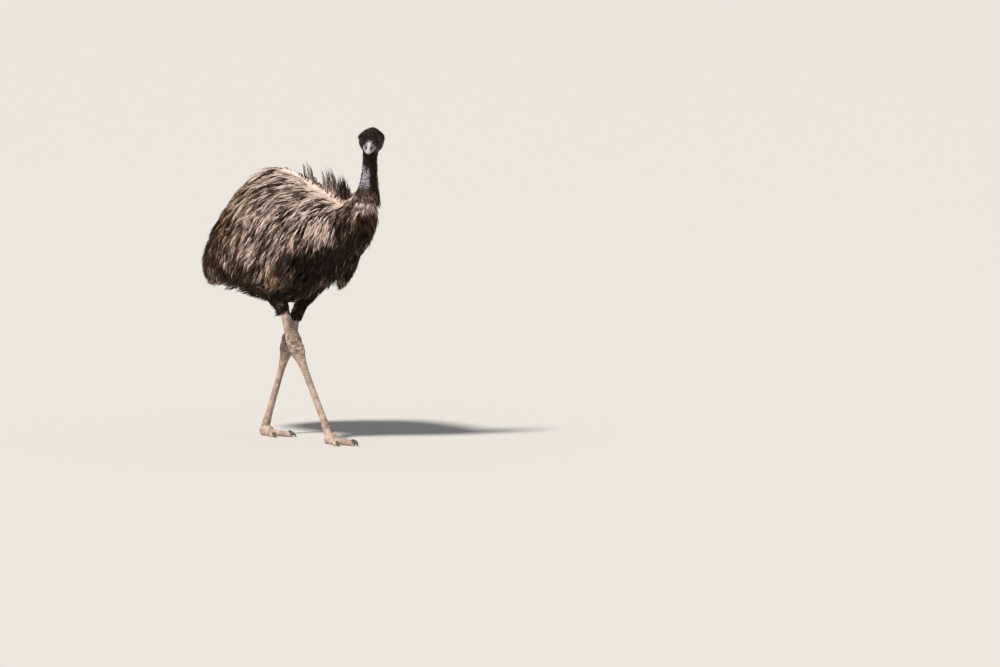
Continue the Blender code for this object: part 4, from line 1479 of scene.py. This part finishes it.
def lay_thigh_plumage(plumage):
    """Short dark feathers down the thighs, to where the shanks are bare."""
    random = np.random.default_rng(13)
    for side in SIDES:
        mesh = remeshed(joined_nodes(("trunk", "thigh_" + side, "shank_" + side)), BODY_VOXEL)
        form = Surface(mesh)
        middle = np.array(middle_of("thigh_" + side))
        leg = unit(np.array(middle_of("hock_" + side)) - middle)
        roots, normals = form.nearest(roots_on(mesh, THIGH_PLUMAGE_SPACING, random))
        height = above_shank(roots)
        off = np.linalg.norm(np.cross(roots - middle, leg), axis=1)
        thigh = (height < 0.680) & (height > 0.570) & (off < 0.062)
        thigh &= (height > 0.605) | (normals[:, 2] > -0.70)
        roots, normals, height = roots[thigh], normals[thigh], height[thigh]

        def down_leg(points, normals):
            """Direction in which the feathers of this thigh lie."""
            wanted = leg + 0.5 * wander(points, 0.02, (31, 37, 103))
            return unit(along_plane(wanted, normals))

        length = random.uniform(0.034, 0.052, len(roots)) * (0.6 + 0.4 * eased(height, 0.57, 0.62))
        tufts = Tufts(form, roots, normals, 0.6 * coat_depth(roots, normals), length)
        tufts.layer = random.uniform(-0.005, 0.0005, len(roots))
        tufts.hang = 0.35 * fading(height, 0.585, 0.640)
        tufts.vary = random.uniform(0.3, 1.5, len(roots))
        tufts.comb(down_leg, 5)
        cut = Cut(strands=5, width=0.0028, spread=0.0080, wave=0.0015, fray=0.35)
        lay("thigh_" + side, tufts, ALL, cut, round_upright, random, plumage, "black_plumage")


def lay_neck_plumage(plumage):
    """Hair-like feathers down the neck, thin over its bare bluish sides."""
    random = np.random.default_rng(17)
    mesh = head_and_neck(HEAD_VOXEL, "neck_lower")
    outer = Surface(mesh)
    roots, normals = outer.nearest(roots_on(mesh, NECK_PLUMAGE_SPACING, random))
    bare = bare_neck(roots)
    neck = random.uniform(0.0, 1.0, len(roots)) > BARE_NECK_TUFTS_LOST * bare
    neck &= (neck_share(roots) >= 0.30) & (roots[:, 2] < THROAT[2] + 0.004)
    roots, normals = roots[neck], normals[neck]
    foot = fading(roots[:, 2], 1.050, 1.120)
    length = (0.020 + 0.020 * foot) * random.uniform(0.75, 1.15, len(roots))
    tufts = Tufts(outer, roots, normals, np.full(len(roots), NECK_ROOT_DEPTH), length)
    tufts.layer = random.uniform(-0.0025, 0.002, len(roots))
    tufts.scale = 1.0 + 0.9 * foot
    tufts.vary = random.uniform(0.4, 1.5, len(roots))
    tufts.comb(straight_down, 5, lift=0.8)
    cut = Cut(strands=6, width=0.0015, spread=0.0060, wave=0.0005, fray=0.6, gather=0.4)
    lay("neck", tufts, ALL, cut, round_upright, random, plumage, "black_plumage")


def head_depth(points):
    """Depth of the hair-like feathers on the crown, nape and cheeks."""
    local = in_head(points)
    crown = eased(local[:, 2], 0.066, 0.082) * eased(local[:, 1], -0.066, -0.046)
    nape = eased(local[:, 1], 0.030, 0.055)
    cheek = eased(-local[:, 2], -0.050, -0.020) * eased(local[:, 1], -0.040, -0.010)
    return CROWN_COAT * np.maximum(crown, nape) + CHEEK_COAT * cheek


def lay_head_plumage(plumage):
    """A cap of black hair-like feathers, and short ones over the face."""
    random = np.random.default_rng(19)
    mesh = head_and_neck(HEAD_VOXEL, "bill_upper", "bill_lower")
    form = Surface(mesh)
    roots, normals = form.nearest(roots_on(mesh, HEAD_PLUMAGE_SPACING, random))
    local = in_head(roots)
    x, y, z = local.T
    profile = local * (0.0, 1.0, 1.0)
    eye = np.min([np.linalg.norm(roots - np.array(middle_of("eye_" + side)), axis=1)
                  for side in SIDES], axis=0)
    cap = eased(z, 0.058, 0.074) * eased(y, -0.080, -0.060)
    cap = np.maximum(np.maximum(cap, eased(y, 0.015, 0.040)), throat_share(roots))
    lores = eased(-y, 0.058, 0.066) * eased(z, 0.044, 0.054)
    brow = within(profile, BROW_MIDDLE, (1.0, 0.030, 0.014)) * eased(np.abs(x), 0.024, 0.034)
    turn = within(profile, (0.0, -0.055, 0.066), (1.0, 0.024, 0.024))
    bill = (y < -0.083) | ((y < -0.070) & (z < 0.050))
    covered = 0.45 + 0.55 * np.maximum(np.maximum(cap, lores), turn)
    kept = random.uniform(0.0, 1.0, len(roots)) < covered
    kept &= (eye > EYE_CLEARANCE) & ~bill & (roots[:, 2] > THROAT[2] - 0.012)
    roots, normals = roots[kept], normals[kept]
    cap, lores, brow = cap[kept], lores[kept], brow[kept]
    count = len(roots)
    length = 0.0075 + 0.0115 * cap + 0.0050 * brow
    length = (length * (1.0 - lores) + 0.0105 * lores) * random.uniform(0.8, 1.25, count)
    tufts = Tufts(form, roots, normals, head_depth(roots), length)
    tufts.layer = random.uniform(-0.0040, 0.0030, count) * (0.25 + 0.75 * cap) - 0.0040 * brow
    tufts.scale = 0.65 + 0.35 * cap
    tufts.comb(lie_of_head, HEAD_STEPS, lift=0.7)
    tufts.tones = random.uniform(0.0, 0.15, (count, HEAD_STEPS))
    tufts.tones += 0.08 * (random.random((count, 1)) < 0.15)
    tufts.warm = np.zeros(count)
    cut = Cut(strands=5, width=0.0015, spread=0.0052, wave=0.0004, fray=0.7, gather=0.3)
    lay("head", tufts, ALL, cut, round_head, random, plumage, "black_plumage")


def lay_wing_plumage(plumage):
    """Feathers that lie along each small wing and fray at its tip."""
    random = np.random.default_rng(23)
    for side in SIDES:
        name = "wing_" + side
        mesh = remeshed(joined_nodes((name,), 0.0), WING_VOXEL)
        form = Surface(mesh)
        top = form.points[form.points[:, 2].argmax()]
        tip = form.points[form.points[:, 2].argmin()]
        down = unit(tip - top)
        roots, normals = form.nearest(roots_on(mesh, WING_PLUMAGE_SPACING, random))

        def along_wing(points, normals):
            """Direction in which the feathers of this wing lie."""
            wanted = down + 0.5 * wander(points, 0.04, (53, 59, 61))
            return unit(along_plane(wanted, normals))

        length = plumage.length * 0.72 * random.uniform(0.75, 1.15, len(roots))
        tufts = Tufts(form, roots, normals, np.full(len(roots), WING_COAT), length)
        tufts.layer = random.uniform(-0.003, 0.012, len(roots))
        reach = (tip - top) @ down
        near_tip = eased((roots - top) @ down, 0.35 * reach, 0.75 * reach)
        tufts.hang = 0.40 + 0.58 * near_tip
        tufts.vary = random.uniform(0.4, 1.5, len(roots)) * (1.0 + 0.5 * near_tip)
        tufts.length = tufts.length * (1.0 - 0.35 * near_tip)
        tufts.comb(along_wing, 6)
        cut = Cut(plumage.strands, plumage.width * 0.85, spread=0.010, wave=0.004, fray=0.8)
        lay(name, tufts, ALL, cut, round_upright, random, plumage, "dark_plumage", name)


def lay_mantle_plumes(plumage):
    """Ragged locks that stand up beside the parting of the withers, each drawn to a point."""
    random = np.random.default_rng(29)
    for name, (count, foot, tip, lean) in PLUMES.items():
        points = node_points(name)
        low, high = points.min(axis=0), points.max(axis=0)
        middle = (low + high) / 2
        back = random.uniform(low[1] - 0.006, high[1] + 0.010, count)
        crest = np.interp(back, *crest_of(points))
        crest = low[2] + (crest - low[2]) * random.uniform(0.50, 1.22, count)
        ends = np.stack([middle[0] + random.normal(0.0, 0.012, count), back, crest], axis=1)
        starts = ends * (1.0, 0.6, 0.0) + (0.0, 0.4 * middle[1] - lean, low[2] - 0.012)
        starts += random.normal(0.0, 0.004, (count, 3)) - (0.014, 0.0, 0.0)
        bend = (starts + ends) / 2 + (0.0, -0.010, 0.008) + random.normal(0.0, 0.004, (count, 3))
        share = np.linspace(0.0, 1.0, 6)[None, :, None]
        tufts = Tufts(None, starts, np.zeros((count, 3)), np.zeros(count),
                      np.linalg.norm(ends - starts, axis=1))
        tufts.lines = ((1 - share) ** 2 * starts[:, None] + 2 * share * (1 - share) * bend[:, None]
                       + share ** 2 * ends[:, None])
        tufts.outward = np.broadcast_to(np.array((-1.0, -0.2, 0.3)), tufts.lines.shape)
        tufts.tones = foot + (tip - foot) * eased(share[:, :, 0], 0.20, 0.85)
        tufts.tones = tufts.tones * random.uniform(0.4, 1.3, (count, 1))
        tufts.warm = np.full(count, 0.1)
        cut = Cut(strands=6, width=0.0027, spread=0.011, wave=0.003, wavelength=0.06, fray=0.20,
                  gather=0.85, shortest=0.75)
        lay(name, tufts, ALL, cut, round_upright, random, plumage, "dark_plumage", name)


def crest_of(points):
    """The top outline of a plume seen from the side: places along Y, and the height at each."""
    places = np.linspace(points[:, 1].min(), points[:, 1].max(), 9)
    reach = (places[1] - places[0]) * 0.8
    heights = [points[np.abs(points[:, 1] - place) < reach, 2].max(initial=points[:, 2].min())
               for place in places]
    return places, heights


# Stage ------------------------------------------------------------------------------------------

def set_stage(stage):
    """Plain pale floor, soft light and the camera."""
    shader = Shader("pale_floor", Roughness=0.9, Specular_IOR_Level=0.1)
    shader.surface.inputs["Base Color"].default_value = colour4(stage.floor_colour)
    builder = bmesh.new()
    bmesh.ops.create_circle(builder, cap_ends=True, segments=FLOOR_SIDES,
                            radius=stage.floor_radius)
    floor = placed("floor", mesh_of(builder, "floor"))
    floor.data.materials.append(shader.material)
    floor.location.z = -FLOOR_DROP

    world = bpy.data.worlds.new("pale room")
    world.use_nodes = True
    background = world.node_tree.nodes["Background"]
    background.inputs["Color"].default_value = colour4(stage.room_colour)
    background.inputs["Strength"].default_value = stage.room_strength
    bpy.context.scene.world = world

    sun = bpy.data.lights.new("key", "SUN")
    sun.energy = stage.key_strength
    sun.angle = stage.key_softness
    sun.color = stage.key_colour
    key = placed("key", sun)
    toward = Vector(stage.key_direction).normalized()
    key.rotation_euler = toward.to_track_quat("Z", "Y").to_euler()

    lens = bpy.data.cameras.new("camera")
    lens.lens = LENS
    lens.sensor_width = SENSOR_WIDTH
    lens.clip_start, lens.clip_end = CLIP_START, CLIP_END
    camera = placed("camera", lens)
    camera.location = CAMERA_PLACE
    turn, rise = CAMERA_AZIMUTH, CAMERA_ELEVATION
    back = Vector((math.sin(turn) * math.cos(rise), -math.cos(turn) * math.cos(rise),
                   math.sin(rise)))
    camera.rotation_euler = back.to_track_quat("Z", "Y").to_euler()
    bpy.context.scene.camera = camera
    bpy.context.scene.view_settings.view_transform = "Standard"


# Sizes and colours a user would change ----------------------------------------------------------

def length_setting(name, description, default):
    """A length that a user may change."""
    return FloatProperty(name=name, description=description, default=default, min=0.0,
                         unit="LENGTH", subtype="DISTANCE", precision=4)


def colour_setting(name, description, default):
    """A colour that a user may change."""
    return FloatVectorProperty(name=name, description=description, default=default, size=3,
                               min=0.0, max=1.0, subtype="COLOR")


class EmuPlumage(bpy.types.PropertyGroup):
    """Sizes and colours of the plumage"""

    length: length_setting("Body length", "Length of a body feather", 0.145)
    width: length_setting("Strand width", "Greatest width of a body strand", 0.0041)
    spacing: length_setting("Spacing", "Distance between tufts on the body", 0.0163)
    strands: IntProperty(name="Strands", description="Strands in a body tuft", default=6, min=1)
    black: colour_setting("Black", "Darkest feather colour", (0.0095, 0.0060, 0.0042))
    brown: colour_setting("Brown", "Common feather colour", (0.076, 0.046, 0.036))
    pale: colour_setting("Pale", "Pale streaks", (0.42, 0.290, 0.238))
    cream: colour_setting("Cream", "Collar, parting and shoulder patch", (0.91, 0.745, 0.67))
    golden_dark: colour_setting("Dark gold", "Shaded part of warm feathers", (0.125, 0.070, 0.034))
    golden: colour_setting("Gold", "Warm feathers of wing tips and breast", (0.42, 0.28, 0.15))


class EmuSkin(bpy.types.PropertyGroup):
    """Sizes and colours of eyes, skin, bill and claws"""

    eye_radius: length_setting("Eye radius", "Radius of an eyeball", 0.0125)
    lid_opening: FloatProperty(name="Lid opening", description="Half the opening, in degrees",
                               default=50.0, min=0.0, max=90.0)
    neck_skin: colour_setting("Neck skin", "Bare neck", (0.36, 0.325, 0.385))
    # Painted shade in the folds of the bare neck, and its darker blotches
    neck_dark_and_fold_shade: colour_setting("Neck folds", "Folds of the bare neck", (0.072, 0.062, 0.078))
    # Skin of the face, and also the painted shade inside the ear openings
    face_dark_and_ear_shade: colour_setting("Face", "Skin of the face", (0.011, 0.009, 0.0085))
    face_blue: colour_setting("Face blue", "Bluish parts of the face", (0.024, 0.024, 0.030))
    leg_scale: colour_setting("Leg", "Scales of the legs", (0.60, 0.455, 0.375))
    leg_pale: colour_setting("Leg pale", "Worn scales", (0.80, 0.65, 0.55))
    leg_dark: colour_setting("Leg dark", "Darker scales", (0.33, 0.235, 0.190))
    leg_groove: colour_setting("Leg grooves", "Between the scales", (0.070, 0.048, 0.036))
    bill_horn: colour_setting("Bill", "Horn of the bill", (0.32, 0.285, 0.295))
    # Darker horn for the clouds and grain, and for the painted shade of the hollows and lower bill
    bill_dark_and_shade: colour_setting("Bill stains", "Darker horn", (0.055, 0.046, 0.048))
    bill_rim: colour_setting("Bill rim", "Pale line along the gape", (0.42, 0.385, 0.395))
    iris: colour_setting("Iris", "Outer iris", (0.030, 0.012, 0.007))
    iris_dark: colour_setting("Iris dark", "Streaks of the iris", (0.010, 0.005, 0.004))
    claw_dark: colour_setting("Claw", "Horn of the claws", (0.030, 0.024, 0.021))
    claw_pale: colour_setting("Claw pale", "Streaks of the claws", (0.115, 0.092, 0.078))


class EmuStage(bpy.types.PropertyGroup):
    """Floor and lights"""

    floor_radius: length_setting("Floor radius", "Radius of the floor", 150.0)
    floor_colour: colour_setting("Floor", "Colour of the floor", (0.52, 0.505, 0.485))
    room_colour: colour_setting("Room", "Colour of the room's light", (0.95, 0.97, 1.0))
    room_strength: FloatProperty(name="Room light", description="Strength of the soft light",
                                 default=0.36, min=0.0)
    key_colour: colour_setting("Key colour", "Colour of the main light", (1.0, 0.955, 0.89))
    key_strength: FloatProperty(name="Key light", description="Strength of the main light",
                                default=5.0, min=0.0)
    key_softness: FloatProperty(name="Key softness", description="Angle that the main light fills",
                                default=math.radians(9.0), unit="ROTATION", subtype="ANGLE")
    key_direction: FloatVectorProperty(name="Key direction", description="Way to the main light",
                                       default=(-0.70, 0.08, 1.0), size=3, subtype="DIRECTION")


# Operators --------------------------------------------------------------------------------------

class EMU_OT_stage(bpy.types.Operator):
    """Set the floor, the lights and the camera"""
    bl_idname = "emu.stage"
    bl_label = "Stage"

    def execute(self, context):
        set_stage(context.scene.emu_stage)
        return {"FINISHED"}


class EMU_OT_skin(bpy.types.Operator):
    """Lay one skin inside trunk, neck, head, legs and feet"""
    bl_idname = "emu.skin"
    bl_label = "Skin"

    def execute(self, context):
        build_skin(context.scene.emu_skin, context.scene.emu_plumage)
        return {"FINISHED"}


class EMU_OT_bill(bpy.types.Operator):
    """Finish both halves of the bill"""
    bl_idname = "emu.bill"
    bl_label = "Bill"

    def execute(self, context):
        build_bill(context.scene.emu_skin)
        return {"FINISHED"}


class EMU_OT_eyes(bpy.types.Operator):
    """Set both eyeballs between their lids"""
    bl_idname = "emu.eyes"
    bl_label = "Eyes"

    def execute(self, context):
        build_eyes(context.scene.emu_skin)
        return {"FINISHED"}


class EMU_OT_claws(bpy.types.Operator):
    """Finish the claws of both feet"""
    bl_idname = "emu.claws"
    bl_label = "Claws"

    def execute(self, context):
        build_claws(context.scene.emu_skin)
        return {"FINISHED"}


class EMU_OT_body_plumage(bpy.types.Operator):
    """Lay the shaggy feathers of tail, back, flanks and breast"""
    bl_idname = "emu.body_plumage"
    bl_label = "Body plumage"

    def execute(self, context):
        lay_body_plumage(context.scene.emu_plumage)
        return {"FINISHED"}


class EMU_OT_thigh_plumage(bpy.types.Operator):
    """Lay the short dark feathers of the thighs"""
    bl_idname = "emu.thigh_plumage"
    bl_label = "Thigh plumage"

    def execute(self, context):
        lay_thigh_plumage(context.scene.emu_plumage)
        return {"FINISHED"}


class EMU_OT_neck_plumage(bpy.types.Operator):
    """Lay the hair-like feathers of the neck"""
    bl_idname = "emu.neck_plumage"
    bl_label = "Neck plumage"

    def execute(self, context):
        lay_neck_plumage(context.scene.emu_plumage)
        return {"FINISHED"}


class EMU_OT_head_plumage(bpy.types.Operator):
    """Lay the black cap of the head"""
    bl_idname = "emu.head_plumage"
    bl_label = "Head plumage"

    def execute(self, context):
        lay_head_plumage(context.scene.emu_plumage)
        return {"FINISHED"}


class EMU_OT_wing_plumage(bpy.types.Operator):
    """Lay the feathers of both small wings"""
    bl_idname = "emu.wing_plumage"
    bl_label = "Wing plumage"

    def execute(self, context):
        lay_wing_plumage(context.scene.emu_plumage)
        return {"FINISHED"}


class EMU_OT_mantle_plumes(bpy.types.Operator):
    """Raise the ragged plumes beside the parting of the withers"""
    bl_idname = "emu.mantle_plumes"
    bl_label = "Mantle plumes"

    def execute(self, context):
        lay_mantle_plumes(context.scene.emu_plumage)
        return {"FINISHED"}


OPERATORS = (EMU_OT_stage, EMU_OT_skin, EMU_OT_bill, EMU_OT_eyes, EMU_OT_claws,
             EMU_OT_body_plumage, EMU_OT_thigh_plumage, EMU_OT_neck_plumage,
             EMU_OT_head_plumage, EMU_OT_wing_plumage, EMU_OT_mantle_plumes)


class EMU_PT_panel(bpy.types.Panel):
    """The emu's pieces, in the order in which they are made"""
    bl_idname = "EMU_PT_panel"
    bl_label = "Emu"
    bl_space_type = "VIEW_3D"
    bl_region_type = "UI"
    bl_category = "Emu"

    def draw(self, context):
        for operator in OPERATORS:
            self.layout.operator(operator.bl_idname)
        for group in (context.scene.emu_plumage, context.scene.emu_skin, context.scene.emu_stage):
            box = self.layout.box()
            for name in group.__annotations__:
                box.prop(group, name)


GROUPS = (("emu_plumage", EmuPlumage), ("emu_skin", EmuSkin), ("emu_stage", EmuStage))


def register():
    for _, group in GROUPS:
        bpy.utils.register_class(group)
    for operator in OPERATORS:
        bpy.utils.register_class(operator)
    bpy.utils.register_class(EMU_PT_panel)
    for name, group in GROUPS:
        setattr(bpy.types.Scene, name, PointerProperty(type=group))


def unregister():
    for name, _ in GROUPS:
        delattr(bpy.types.Scene, name)
    bpy.utils.unregister_class(EMU_PT_panel)
    for operator in reversed(OPERATORS):
        bpy.utils.unregister_class(operator)
    for _, group in reversed(GROUPS):
        bpy.utils.unregister_class(group)


def main():
    register()
    bpy.ops.emu.stage()
    bpy.ops.emu.skin()
    bpy.ops.emu.bill()
    bpy.ops.emu.eyes()
    bpy.ops.emu.claws()
    bpy.ops.emu.body_plumage()
    bpy.ops.emu.thigh_plumage()
    bpy.ops.emu.neck_plumage()
    bpy.ops.emu.head_plumage()
    bpy.ops.emu.wing_plumage()
    bpy.ops.emu.mantle_plumes()


if __name__ == "__main__":
    main()
